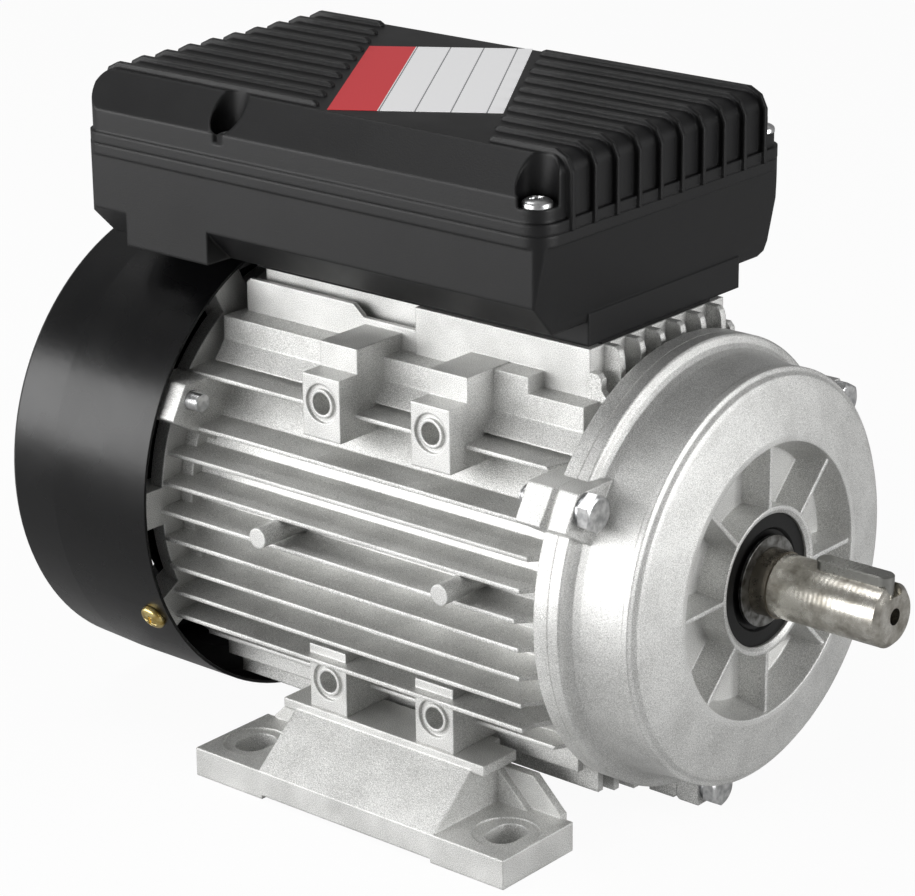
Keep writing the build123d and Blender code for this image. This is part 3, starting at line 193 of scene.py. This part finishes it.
# Frame, feet and end shields. They are pressure die-cast aluminium, tumbled to a bright skin
# with a sparkling grain, and the mould leaves soft edges. The real grain of about 0.1 mm is too
# fine to show, so it is drawn at 0.25 mm. The shields are a little smoother than the frame.
CAST_BRIGHT = "#F0F0EE"
CAST_DULL = "#ACACAA"
CAST_GRIT_MM = 0.25
CAST_CLOUD_MM = 14.0
CAST_CLOUD_SHARE = 0.25
CAST_TONE_RANGE = (0.38, 0.62)
CAST_GRIT_RANGE = (0.3, 0.7)
CAST_RELIEF = {"share": 0.4, "mm": 0.2}
CAST_EDGE_MM = 0.8
CAST_METALLIC = 0.7
CAST_ROUGHNESS = (0.42, 0.62)
EDGE_SAMPLES = 6


def per_metre(size_mm):
    """Texture scale whose features are about that many millimetres wide."""
    return 1000.0 / size_mm


def cast_metal(name, bright, dull, grit_mm, roughness):
    """Tumbled die casting: a cloudy silver that sparkles by its grit, with rounded edges."""
    material, tree, output = bare_material(name)
    where = add_node(tree, "ShaderNodeTexCoord")
    clouds = add_node(
        tree,
        "ShaderNodeTexNoise",
        {"Vector": where.outputs["Object"], "Scale": per_metre(CAST_CLOUD_MM), "Detail": 6.0},
    )
    grit = add_node(
        tree,
        "ShaderNodeTexNoise",
        {"Vector": where.outputs["Object"], "Scale": per_metre(grit_mm), "Detail": 3.0},
    )
    tone = add_node(
        tree,
        "ShaderNodeMath",
        {0: clouds.outputs["Fac"], 1: CAST_CLOUD_SHARE, 2: grit.outputs["Fac"]},
        operation="MULTIPLY_ADD",
    )
    spread = add_node(
        tree,
        "ShaderNodeMapRange",
        {
            "Value": tone.outputs[0],
            "From Min": CAST_TONE_RANGE[0] + CAST_CLOUD_SHARE / 2,
            "From Max": CAST_TONE_RANGE[1] + CAST_CLOUD_SHARE / 2,
        },
    )
    colour = add_node(
        tree,
        "ShaderNodeMix",
        {"Factor": spread.outputs["Result"], 6: linear(dull), 7: linear(bright)},
        data_type="RGBA",
    )
    shine = add_node(
        tree,
        "ShaderNodeMapRange",
        {
            "Value": grit.outputs["Fac"],
            "From Min": CAST_GRIT_RANGE[0],
            "From Max": CAST_GRIT_RANGE[1],
            "To Min": roughness[0],
            "To Max": roughness[1],
        },
    )
    edge = add_node(tree, "ShaderNodeBevel", {"Radius": CAST_EDGE_MM / 1000}, samples=EDGE_SAMPLES)
    relief = add_node(
        tree,
        "ShaderNodeBump",
        {
            "Height": grit.outputs["Fac"],
            "Strength": CAST_RELIEF["share"],
            "Distance": CAST_RELIEF["mm"] / 1000,
            "Normal": edge.outputs["Normal"],
        },
    )
    skin = add_node(
        tree,
        "ShaderNodeBsdfPrincipled",
        {
            "Base Color": colour.outputs[2],
            "Metallic": CAST_METALLIC,
            "Roughness": shine.outputs["Result"],
            "Normal": relief.outputs["Normal"],
        },
    )
    tree.links.new(skin.outputs[0], output.inputs["Surface"])
    return material


def dress(material, *nodes):
    """Puts a material in every slot of these CAD nodes."""
    for node in nodes:
        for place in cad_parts[node].material_slots:
            place.material = material


cast_frame = cast_metal(
    "die-cast aluminium", CAST_BRIGHT, CAST_DULL, CAST_GRIT_MM, CAST_ROUGHNESS
)
dress(cast_frame, "stator_frame", "foot_left", "foot_right")

SHIELD_BRIGHT = "#EEEEEC"
SHIELD_DULL = "#B2B2B0"
SHIELD_ROUGHNESS = (0.38, 0.56)
cast_shield = cast_metal(
    "fine die-cast aluminium", SHIELD_BRIGHT, SHIELD_DULL, CAST_GRIT_MM, SHIELD_ROUGHNESS
)
dress(cast_shield, "front_end_shield", "rear_end_shield", "rotor_end_rings")

# Foot bolts, washers, straps and the switch's plate and weights. They are steel, pressed or
# cold-headed and then zinc-plated in a drum, which leaves a smooth grey with faint blotches.
ZINC_LIGHT = "#C9CACC"
ZINC_DARK = "#8E9092"
ZINC_ROUGHNESS = 0.32
ZINC_BLOTCH_MM = 2.5
PLATED_TONE_RANGE = (0.35, 0.65)
PLATED_RELIEF = {"share": 0.1, "mm": 0.2}
PLATED_EDGE_MM = 0.3


def plated_steel(name, light, dark, roughness, blotch_mm):
    """Plated or ground steel: two close tones in small blotches, with light wear."""
    material, tree, output = bare_material(name)
    where = add_node(tree, "ShaderNodeTexCoord")
    blotch = add_node(
        tree,
        "ShaderNodeTexNoise",
        {"Vector": where.outputs["Object"], "Scale": per_metre(blotch_mm), "Detail": 5.0},
    )
    spread = add_node(
        tree,
        "ShaderNodeMapRange",
        {
            "Value": blotch.outputs["Fac"],
            "From Min": PLATED_TONE_RANGE[0],
            "From Max": PLATED_TONE_RANGE[1],
        },
    )
    colour = add_node(
        tree,
        "ShaderNodeMix",
        {"Factor": spread.outputs["Result"], 6: linear(dark), 7: linear(light)},
        data_type="RGBA",
    )
    edge = add_node(
        tree, "ShaderNodeBevel", {"Radius": PLATED_EDGE_MM / 1000}, samples=EDGE_SAMPLES
    )
    relief = add_node(
        tree,
        "ShaderNodeBump",
        {
            "Height": blotch.outputs["Fac"],
            "Strength": PLATED_RELIEF["share"],
            "Distance": PLATED_RELIEF["mm"] / 1000,
            "Normal": edge.outputs["Normal"],
        },
    )
    skin = add_node(
        tree,
        "ShaderNodeBsdfPrincipled",
        {
            "Base Color": colour.outputs[2],
            "Metallic": 1.0,
            "Roughness": roughness,
            "Normal": relief.outputs["Normal"],
        },
    )
    tree.links.new(skin.outputs[0], output.inputs["Surface"])
    return material


zinc_steel = plated_steel(
    "zinc-plated steel", ZINC_LIGHT, ZINC_DARK, ZINC_ROUGHNESS, ZINC_BLOTCH_MM
)
dress(
    zinc_steel,
    "foot_bolts",
    "front_spring_washers",
    "rear_spring_washers",
    "box_screws",
    "capacitor_straps",
    "governor_plate",
    "governor_weight_left",
    "governor_weight_right",
)

# Lid screws, fan cover screws and shield bolts. They are cold-headed steel with rolled threads:
# cross-recessed pan heads on the lid and, passivated yellow, on the fan cover, and hexagon bolts
# in the end shields. Each stands on its CAD seat and is as long as the CAD one.
YELLOW_LIGHT = "#E8D69A"
YELLOW_DARK = "#B89A50"
BRIGHT_LIGHT = "#F2F2F2"
BRIGHT_DARK = "#B9BABB"
SCREW_ROUGHNESS = 0.3
FASTENER_COLUMNS = 72
FASTENER_ROWS = 26
AXIS_Z_MM = 80.0
MERGE_M = 1e-6
SHARP_FROM_DEGREES = 32.0
LID_SPOTS_MM = ((54.0, -52.5), (-62.0, -52.0), (54.5, 52.0), (-9.0, 52.5))
LID_SEAT_Z_MM = 196.0
LID_SCREW_MM = {"head_r": 4.4, "head_h": 2.6, "shank_r": 1.9, "length": 24.0, "pitch": 1.6}
COVER_SEAT_MM = (-87.4, 76.8)
COVER_ANGLES = (-151.1, -28.9)
COVER_SCREW_MM = {"head_r": 4.3, "head_h": 2.6, "shank_r": 2.45, "length": 12.0, "pitch": 0.8}
PAN_EDGE_SHARE = 0.35
RECESS_TURN = 0.4
RECESS_MM = {"half_width": 0.5, "half_length": 2.2, "depth": 1.3, "soft": 0.25}
CHAMFER_DEGREES = 30.0
THREAD_DEPTH_SHARE = 0.3
THREAD_ROWS_EACH = 5
SHIELD_BOLT_MM = {"flats": 10.0, "head_h": 4.0, "face_r": 4.5, "shank_r": 2.95, "pitch": 1.0}
SHIELD_BOLT_ANGLES = (30.0, 150.0, 270.0)
FRONT_BOLT_MM = {"seat": 78.6, "circle": 70.5, "length": 22.1, "corner": 30.0}
REAR_BOLT_MM = {"seat": -89.2, "circle": 69.5, "length": 19.6, "corner": 0.0}


def place_grids(name, grids, closed_u=False):
    """One mesh over grids of points (grid, row, column, 3), with poles and seams merged."""
    index = np.arange(grids[..., 0].size).reshape(grids.shape[:3])
    across = index if closed_u else index[:, :, :-1]
    beside = np.roll(index, -1, axis=2) if closed_u else index[:, :, 1:]
    sides = (across[:, :-1], beside[:, :-1], beside[:, 1:], across[:, 1:])
    faces = np.stack([side.ravel() for side in sides], axis=1)
    mesh = bpy.data.meshes.new(name)
    mesh.from_pydata(grids.reshape(-1, 3).tolist(), [], faces.tolist())
    merged = bmesh.new()
    merged.from_mesh(mesh)
    bmesh.ops.remove_doubles(merged, verts=merged.verts, dist=MERGE_M)
    merged.to_mesh(mesh)
    merged.free()
    mesh.shade_smooth()
    mesh.set_sharp_from_angle(angle=math.radians(SHARP_FROM_DEGREES))
    made = bpy.data.objects.new(name, mesh)
    bpy.context.scene.collection.objects.link(made)
    return made


def pan_head(radius, angle, head_r, head_h):
    """Height of an elliptic dome on an upright edge, less the depth inside two crossed bars.

    h = H (e + (1 - e) sqrt(1 - (r/R)^2)) - depth, where |x| and |y| lie within the cross.
    """
    edge = PAN_EDGE_SHARE
    dome = head_h * (edge + (1 - edge) * np.sqrt(np.clip(1 - (radius / head_r) ** 2, 0, 1)))
    turned = angle + RECESS_TURN
    x, y = np.abs(radius * np.cos(turned)), np.abs(radius * np.sin(turned))
    soft = RECESS_MM["soft"]
    arm = np.clip((RECESS_MM["half_width"] - np.minimum(x, y)) / soft + 0.5, 0, 1)
    end = np.clip((RECESS_MM["half_length"] - np.maximum(x, y)) / soft + 0.5, 0, 1)
    return dome - RECESS_MM["depth"] * arm * end


def hexagon_head(radius, head_h, face_r):
    """Height of a flat face whose corners fall away: H inside its circle, less a slope outside."""
    return head_h - np.clip(radius - face_r, 0, None) * math.tan(math.radians(CHAMFER_DEGREES))


def fastener(seats, rim, top, shank_r, length, pitch):
    """Points of one profile turned round each seat's axis, from the head's middle to the tip.

    Head: the radius grows from 0 to rim(a) and the height is top(r, a). Shank: the radius is R
    less a share of the pitch times (1 + cos(2 pi h / pitch + a)) / 2, which is a helix.
    """
    angle = -np.linspace(0, 2 * np.pi, FASTENER_COLUMNS, endpoint=False)[None, :]
    share = np.linspace(0, 1, FASTENER_ROWS)[:, None]
    head_radius = share * rim(angle)
    head = np.stack([head_radius, top(head_radius, angle)], axis=2)
    depth = -np.linspace(0, length, int(THREAD_ROWS_EACH * length / pitch))[:, None]
    wave = 1 + np.cos(2 * np.pi * depth / pitch + angle)
    cut = THREAD_DEPTH_SHARE / 2 * pitch * wave
    shank = np.stack([shank_r - cut, depth + 0 * angle], axis=2)
    foot = np.stack([rim(angle), 0 * angle], axis=2)
    tip = np.stack([0 * angle, 0 * angle - length], axis=2)
    radius, height = np.moveaxis(np.concatenate([head, foot, shank, tip]), 2, 0)
    grids = []
    for origin, out, side in np.array(seats, dtype=float):
        grids.append(
            origin
            + out * height[..., None]
            + side * (radius * np.cos(angle))[..., None]
            + np.cross(out, side) * (radius * np.sin(angle))[..., None]
        )
    return np.array(grids) / 1000


# Bright zinc gives a clear silver, and the yellow passivation a pale gold with brown patches.
bright_zinc = plated_steel(
    "bright zinc", BRIGHT_LIGHT, BRIGHT_DARK, SCREW_ROUGHNESS, ZINC_BLOTCH_MM
)
yellow_zinc = plated_steel(
    "yellow-passivated zinc", YELLOW_LIGHT, YELLOW_DARK, SCREW_ROUGHNESS, ZINC_BLOTCH_MM
)

lid_seats = [((x, y, LID_SEAT_Z_MM), (0, 0, 1), (1, 0, 0)) for x, y in LID_SPOTS_MM]
lid_heads = place_grids(
    "lid_screw_heads",
    fastener(
        lid_seats,
        lambda a: LID_SCREW_MM["head_r"] + 0 * a,
        lambda r, a: pan_head(r, a, LID_SCREW_MM["head_r"], LID_SCREW_MM["head_h"]),
        LID_SCREW_MM["shank_r"],
        LID_SCREW_MM["length"],
        LID_SCREW_MM["pitch"],
    ),
    closed_u=True,
)
lid_heads.data.materials.append(bright_zinc)
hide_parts("lid_screws")
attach(lid_heads, "stator")

cover_seats = []
for degrees in COVER_ANGLES:
    out = np.array((0, math.cos(math.radians(degrees)), math.sin(math.radians(degrees))))
    seat = out * COVER_SEAT_MM[1] + (COVER_SEAT_MM[0], 0, AXIS_Z_MM)
    cover_seats.append((seat, out, (1, 0, 0)))
cover_heads = place_grids(
    "fan_cover_screw_heads",
    fastener(
        cover_seats,
        lambda a: COVER_SCREW_MM["head_r"] + 0 * a,
        lambda r, a: pan_head(r, a, COVER_SCREW_MM["head_r"], COVER_SCREW_MM["head_h"]),
        COVER_SCREW_MM["shank_r"],
        COVER_SCREW_MM["length"],
        COVER_SCREW_MM["pitch"],
    ),
    closed_u=True,
)
cover_heads.data.materials.append(yellow_zinc)
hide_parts("fan_cover_screws")
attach(cover_heads, "stator")

for node, sizes, way in (
    ("front_shield_bolts", FRONT_BOLT_MM, 1),
    ("rear_shield_bolts", REAR_BOLT_MM, -1),
):
    seats = []
    for degrees in SHIELD_BOLT_ANGLES:
        y = sizes["circle"] * math.cos(math.radians(degrees))
        z = sizes["circle"] * math.sin(math.radians(degrees)) + AXIS_Z_MM
        seats.append(((sizes["seat"], y, z), (way, 0, 0), (0, 1, 0)))
    sixth = math.pi / 3
    corner = math.radians(sizes["corner"])
    bolts = place_grids(
        f"{node}_threaded",
        fastener(
            seats,
            lambda a: SHIELD_BOLT_MM["flats"] / 2 / np.cos((a - corner) % sixth - sixth / 2),
            lambda r, a: hexagon_head(r, SHIELD_BOLT_MM["head_h"], SHIELD_BOLT_MM["face_r"]),
            SHIELD_BOLT_MM["shank_r"],
            sizes["length"],
            SHIELD_BOLT_MM["pitch"],
        ),
        closed_u=True,
    )
    bolts.data.materials.append(bright_zinc)
    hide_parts(node)
    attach(bolts, "stator")

# Bearings, wave washer, circlip and hinge pins. They are bearing and spring steel, hardened and
# then ground or polished, which leaves them bright and smooth with hardly a blotch.
BEARING_LIGHT = "#D6D6D8"
BEARING_DARK = "#B5B6B9"
BEARING_ROUGHNESS = 0.14
BEARING_BLOTCH_MM = 6.0
bearing_steel = plated_steel(
    "ground bearing steel", BEARING_LIGHT, BEARING_DARK, BEARING_ROUGHNESS, BEARING_BLOTCH_MM
)
dress(
    bearing_steel,
    "front_bearing_outer",
    "rear_bearing_outer",
    "front_bearing_inner",
    "rear_bearing_inner",
    "front_bearing_balls",
    "rear_bearing_balls",
    "front_bearing_cage",
    "rear_bearing_cage",
    "wave_washer",
    "fan_circlip",
    "governor_pins",
)

# Shaft, slinger and key. The shaft is turned steel, bright between brown tarnish, and darkened
# next to the seal by painted shade; the slinger is sheet steel darkened by painted shade of the
# seal's recess, and the key drawn bar. Tool marks of 0.2 mm are too fine to show, so they are
# drawn 1.6 mm apart.
SHAFT_BRIGHT = "#DDDAD2"
SHAFT_TARNISH = "#777063"
SHAFT_TARNISH_SHARE = 0.75
# Painted shade darkens the steel short of this X, next to the seal.
SEAL_SHADE_END_X = 0.1026
# The slinger's tones are darkened as painted shade of the seal's recess.
SLINGER_LIGHT = "#9A9A98"
SLINGER_DARK = "#55534F"
SLINGER_ROUGHNESS = 0.35
KEY_BRIGHT = "#A6A6A2"
KEY_TARNISH = "#6A6965"
KEY_TARNISH_SHARE = 0.3
SEAL_SHADE_SHARE = 0.9
TARNISH_MM = 7.0
TARNISH_RANGE = (0.38, 0.62)
TARNISH_BREAKUP = 0.65
TOOL_MARK_MM = 1.5708
WAVE_WIDTH = math.pi / 10
TURNED_ROUGHNESS = (0.36, 0.2)
TURNED_RELIEF = {"share": 0.12, "mm": 0.1}


def turned_steel(name, bright, tarnish, amount):
    """Turned steel: rings round the axis, cloudy tarnish, and painted shade next to the seal.

    A wave texture's band is WAVE_WIDTH wide at scale 1, so its scale is that over the spacing.
    """
    material, tree, output = bare_material(name)
    where = add_node(tree, "ShaderNodeTexCoord")
    along = add_node(tree, "ShaderNodeSeparateXYZ", {"Vector": where.outputs["Object"]})
    # Painted shade: steel at lower X than the seal's edge takes the tarnish colour at this share.
    near_seal = add_node(
        tree,
        "ShaderNodeMath",
        {0: along.outputs["X"], 1: SEAL_SHADE_END_X},
        operation="LESS_THAN",
    )
    seal_shade = add_node(
        tree,
        "ShaderNodeMath",
        {0: near_seal.outputs[0], 1: SEAL_SHADE_SHARE},
        operation="MULTIPLY",
    )
    clouds = add_node(
        tree,
        "ShaderNodeTexNoise",
        {
            "Vector": where.outputs["Object"],
            "Scale": per_metre(TARNISH_MM),
            "Detail": 8.0,
            "Roughness": TARNISH_BREAKUP,
        },
    )
    stained = add_node(
        tree,
        "ShaderNodeMapRange",
        {
            "Value": clouds.outputs["Fac"],
            "From Min": TARNISH_RANGE[0],
            "From Max": TARNISH_RANGE[1],
            "To Min": amount,
            "To Max": 0.0,
        },
    )
    tarnish_and_shade = add_node(
        tree,
        "ShaderNodeMath",
        {0: stained.outputs["Result"], 1: seal_shade.outputs[0]},
        operation="MAXIMUM",
    )
    colour = add_node(
        tree,
        "ShaderNodeMix",
        {"Factor": tarnish_and_shade.outputs[0], 6: linear(bright), 7: linear(tarnish)},
        data_type="RGBA",
    )
    rings = add_node(
        tree,
        "ShaderNodeTexWave",
        {
            "Vector": where.outputs["Object"],
            "Scale": per_metre(TOOL_MARK_MM) * WAVE_WIDTH,
            "Distortion": 1.5,
            "Detail": 2.0,
        },
        bands_direction="X",
    )
    shine = add_node(
        tree,
        "ShaderNodeMapRange",
        {
            "Value": clouds.outputs["Fac"],
            "To Min": TURNED_ROUGHNESS[0],
            "To Max": TURNED_ROUGHNESS[1],
        },
    )
    relief = add_node(
        tree,
        "ShaderNodeBump",
        {
            "Height": rings.outputs["Fac"],
            "Strength": TURNED_RELIEF["share"],
            "Distance": TURNED_RELIEF["mm"] / 1000,
        },
    )
    skin = add_node(
        tree,
        "ShaderNodeBsdfPrincipled",
        {
            "Base Color": colour.outputs[2],
            "Metallic": 1.0,
            "Roughness": shine.outputs["Result"],
            "Normal": relief.outputs["Normal"],
        },
    )
    tree.links.new(skin.outputs[0], output.inputs["Surface"])
    return material


shaft_steel = turned_steel(
    "turned shaft steel", SHAFT_BRIGHT, SHAFT_TARNISH, SHAFT_TARNISH_SHARE
)
dress(shaft_steel, "shaft")
slinger_steel = plated_steel(
    "shade-darkened slinger steel", SLINGER_LIGHT, SLINGER_DARK, SLINGER_ROUGHNESS, ZINC_BLOTCH_MM
)
dress(slinger_steel, "shaft_slinger")
key_steel = turned_steel("bright key steel", KEY_BRIGHT, KEY_TARNISH, KEY_TARNISH_SHARE)
dress(key_steel, "shaft_key")

# Terminal box, gland, fan and switch collar. They are moulded in black plastic from a mould with
# a spark-eroded grain, which gives an even, half-dull skin; the box has soft corners. The usual
# IOR of 1.5 is lowered to match the dark gloss of the real box.
PLASTIC_BLACK = "#121213"
PLASTIC_GRAIN_MM = 0.5
PLASTIC_RELIEF_MM = 0.08
BOX_ROUGHNESS = 0.42
BOX_EDGE_MM = 1.2
FAN_ROUGHNESS = 0.5
FAN_EDGE_MM = 0.4
SKIN_HAZE_MM = 30.0
SKIN_HAZE_RANGE = (0.3, 0.7)
SKIN_HAZE_GLOSS = 0.05
SKIN_RELIEF_SHARE = 0.5
SKIN_IOR = 1.38


def black_skin(name, colour, roughness, grain_mm, depth_mm, edge_mm):
    """Plastic, enamel or rubber: an even colour, a grain in the relief and a haze in the gloss."""
    material, tree, output = bare_material(name)
    where = add_node(tree, "ShaderNodeTexCoord")
    grain = add_node(
        tree,
        "ShaderNodeTexNoise",
        {"Vector": where.outputs["Object"], "Scale": per_metre(grain_mm), "Detail": 4.0},
    )
    haze = add_node(
        tree,
        "ShaderNodeTexNoise",
        {"Vector": where.outputs["Object"], "Scale": per_metre(SKIN_HAZE_MM), "Detail": 3.0},
    )
    shine = add_node(
        tree,
        "ShaderNodeMapRange",
        {
            "Value": haze.outputs["Fac"],
            "From Min": SKIN_HAZE_RANGE[0],
            "From Max": SKIN_HAZE_RANGE[1],
            "To Min": roughness - SKIN_HAZE_GLOSS,
            "To Max": roughness + SKIN_HAZE_GLOSS,
        },
    )
    edge = add_node(tree, "ShaderNodeBevel", {"Radius": edge_mm / 1000}, samples=EDGE_SAMPLES)
    relief = add_node(
        tree,
        "ShaderNodeBump",
        {
            "Height": grain.outputs["Fac"],
            "Strength": SKIN_RELIEF_SHARE,
            "Distance": depth_mm / 1000,
            "Normal": edge.outputs["Normal"],
        },
    )
    skin = add_node(
        tree,
        "ShaderNodeBsdfPrincipled",
        {
            "Base Color": linear(colour),
            "Roughness": shine.outputs["Result"],
            "IOR": SKIN_IOR,
            "Normal": relief.outputs["Normal"],
        },
    )
    tree.links.new(skin.outputs[0], output.inputs["Surface"])
    return material


box_plastic = black_skin(
    "moulded black plastic",
    PLASTIC_BLACK,
    BOX_ROUGHNESS,
    PLASTIC_GRAIN_MM,
    PLASTIC_RELIEF_MM,
    BOX_EDGE_MM,
)
dress(box_plastic, "terminal_box_base", "terminal_box_lid", "cable_gland", "gland_nut")
fan_plastic = black_skin(
    "black fan plastic",
    PLASTIC_BLACK,
    FAN_ROUGHNESS,
    PLASTIC_GRAIN_MM,
    PLASTIC_RELIEF_MM,
    FAN_EDGE_MM,
)
dress(fan_plastic, "cooling_fan", "governor_collar")

# Rim of the fan's disc. A thin ring, moulded in one with the fan, carries its disc out to the
# tips of the blades. It is a rectangle turned round the shaft's axis.
FAN_RIM_COLUMNS = 120
FAN_RIM_MM = ((44.0, -101.0), (60.0, -101.0), (60.0, -98.6), (44.0, -98.6), (44.0, -101.0))
turn_round = np.linspace(0, 2 * np.pi, FAN_RIM_COLUMNS, endpoint=False)[None, :]
rim_r, rim_x = np.array(FAN_RIM_MM).T[..., None]
rim_points = np.stack(
    [rim_x + 0 * turn_round, rim_r * np.cos(turn_round), AXIS_Z_MM + rim_r * np.sin(turn_round)],
    axis=2,
)
fan_rim = place_grids("fan_disc_rim", rim_points[None] / 1000, closed_u=True)
fan_rim.data.materials.append(fan_plastic)
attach(fan_rim, "rotor")

# Fan cover, shaft seal and gasket. The cover is deep-drawn sheet steel under baked black enamel,
# whose slight orange peel softens its gloss; the seal and the gasket are moulded black rubber.
ENAMEL = {"colour": "#060607", "roughness": 0.28, "grain_mm": 3.0, "depth_mm": 0.05}
RUBBER = {"colour": "#080808", "roughness": 0.4, "grain_mm": 0.8, "depth_mm": 0.05}
enamel = black_skin("black enamel on sheet steel", edge_mm=0.4, **ENAMEL)
dress(enamel, "fan_cover")
rubber = black_skin("black rubber", edge_mm=0.3, **RUBBER)
dress(rubber, "front_shaft_seal", "box_gasket")

# Capacitors and terminals in the box, and the switch's board. The cans are plastic, the block and
# the board moulded resin, and the studs, links, nuts and contact arm plain brass.
CAN = {"roughness": 0.4, "grain_mm": 1.0, "depth_mm": 0.05, "edge_mm": 0.5}
START_CAN_COLOUR = "#202022"
RUN_CAN_COLOUR = "#D8D8D2"
RESIN = {"colour": "#5A2E1E", "roughness": 0.5, "grain_mm": 0.8, "depth_mm": 0.06}
BRASS = {"light": "#D2AC5E", "dark": "#A8823C", "roughness": 0.25, "blotch_mm": 4.0}
can_black = black_skin("black capacitor can", START_CAN_COLOUR, **CAN)
dress(can_black, "start_capacitor")
can_light = black_skin("white capacitor can", RUN_CAN_COLOUR, **CAN)
dress(can_light, "run_capacitor")
resin = black_skin("brown moulded resin", edge_mm=0.3, **RESIN)
dress(resin, "terminal_block", "switch_board")
brass = plated_steel("plain brass", **BRASS)
dress(brass, "terminal_studs", "terminal_links", "terminal_nuts", "switch_arm")

# Stator and rotor packets. Both are stacks of punched electrical sheet, and the windings are
# varnished copper wire; none of them shows with the motor closed.
SHEET = {"bright": "#8C8C8E", "tarnish": "#5A5A5C", "amount": 0.5}
COPPER = {"light": "#B4622E", "dark": "#7A3A18", "roughness": 0.35, "blotch_mm": 1.0}
sheet_stack = turned_steel("stacked electrical sheet", **SHEET)
dress(sheet_stack, "stator_core", "rotor_core")
copper = plated_steel("varnished copper wire", **COPPER)
dress(copper, "stator_windings")

# Rating plate on the lid. It is a paper sticker with a red band and ruled lines, stuck askew
# between the two groups of ribs, and a painted glow on its print makes it brighter than the lamps
# do.
LABEL_CENTRE = (-0.0285, 0.0010)
LABEL_LONG = (-45.0, 69.5)
LABEL_SIZE = (0.082, 0.051)
LABEL_Z = 0.20955
LABEL_THICK = 0.00015
LABEL_RED = "#D42F37"
LABEL_WHITE = "#FBFBFC"
LABEL_RULE = "#8F9092"
LABEL_BAND = 0.0146
LABEL_RULE_STEP = 0.0052
LABEL_RULE_HALF = 0.00022
LABEL_FIBRE_MM = 0.8
LABEL_RELIEF = {"share": 0.1, "mm": 0.1}
LABEL_ROUGHNESS = 0.35
LABEL_IOR = 1.5
# Strength of the painted glow on the print.
LABEL_PAINTED_GLOW = 0.22
LABEL_GRID = (21, 13)

# The sheet's points are centre + u long_way + v short_way, at one height.
long_way = np.array(LABEL_LONG) / np.hypot(*LABEL_LONG)
short_way = np.array((long_way[1], -long_way[0]))
u = np.linspace(-0.5, 0.5, LABEL_GRID[0]) * LABEL_SIZE[0]
v = np.linspace(-0.5, 0.5, LABEL_GRID[1]) * LABEL_SIZE[1]
flat = (
    np.array(LABEL_CENTRE)
    + u[:, None, None] * long_way[None, None, :]
    + v[None, :, None] * short_way[None, None, :]
)
height = np.full(flat.shape[:2] + (1,), LABEL_Z)
label = place_grids("rating_label", np.concatenate([flat, height], axis=2)[None])
label.data.shade_flat()
skin_layer = label.modifiers.new("paper", "SOLIDIFY")
skin_layer.thickness = LABEL_THICK
skin_layer.offset = 0

# Printed paper: white with thin grey rules, one red end and a faint fibre in a satin skin.
sticker, tree, output = bare_material("printed paper sticker")
where = add_node(tree, "ShaderNodeTexCoord")
turn_angle = math.atan2(long_way[1], long_way[0])
centred = add_node(
    tree,
    "ShaderNodeMapping",
    {
        "Vector": where.outputs["Object"],
        "Location": (*LABEL_CENTRE, 0.0),
        "Rotation": (0.0, 0.0, turn_angle),
    },
    vector_type="TEXTURE",
)
axes = add_node(tree, "ShaderNodeSeparateXYZ", {"Vector": centred.outputs[0]})
in_band = add_node(
    tree,
    "ShaderNodeMath",
    {0: axes.outputs["Y"], 1: LABEL_SIZE[1] / 2 - LABEL_BAND},
    operation="GREATER_THAN",
)
rule_step = add_node(
    tree,
    "ShaderNodeMath",
    {0: axes.outputs["Y"], 1: LABEL_RULE_STEP},
    operation="PINGPONG",
)
ruled = add_node(
    tree, "ShaderNodeMath", {0: rule_step.outputs[0], 1: LABEL_RULE_HALF}, operation="LESS_THAN"
)
print_white = add_node(
    tree,
    "ShaderNodeMix",
    {"Factor": ruled.outputs[0], 6: linear(LABEL_WHITE), 7: linear(LABEL_RULE)},
    data_type="RGBA",
)
print_all = add_node(
    tree,
    "ShaderNodeMix",
    {"Factor": in_band.outputs[0], 6: print_white.outputs[2], 7: linear(LABEL_RED)},
    data_type="RGBA",
)
fibre = add_node(
    tree,
    "ShaderNodeTexNoise",
    {"Vector": where.outputs["Object"], "Scale": per_metre(LABEL_FIBRE_MM), "Detail": 3.0},
)
relief = add_node(
    tree,
    "ShaderNodeBump",
    {
        "Height": fibre.outputs["Fac"],
        "Strength": LABEL_RELIEF["share"],
        "Distance": LABEL_RELIEF["mm"] / 1000,
    },
)
skin = add_node(
    tree,
    "ShaderNodeBsdfPrincipled",
    {
        "Base Color": print_all.outputs[2],
        # This emission is a painted glow that makes the print brighter than the lamps light it.
        "Emission Color": print_all.outputs[2],
        "Emission Strength": LABEL_PAINTED_GLOW,
        "Roughness": LABEL_ROUGHNESS,
        "IOR": LABEL_IOR,
        "Normal": relief.outputs["Normal"],
    },
)
tree.links.new(skin.outputs[0], output.inputs["Surface"])
label.data.materials.append(sticker)
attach(label, "stator")
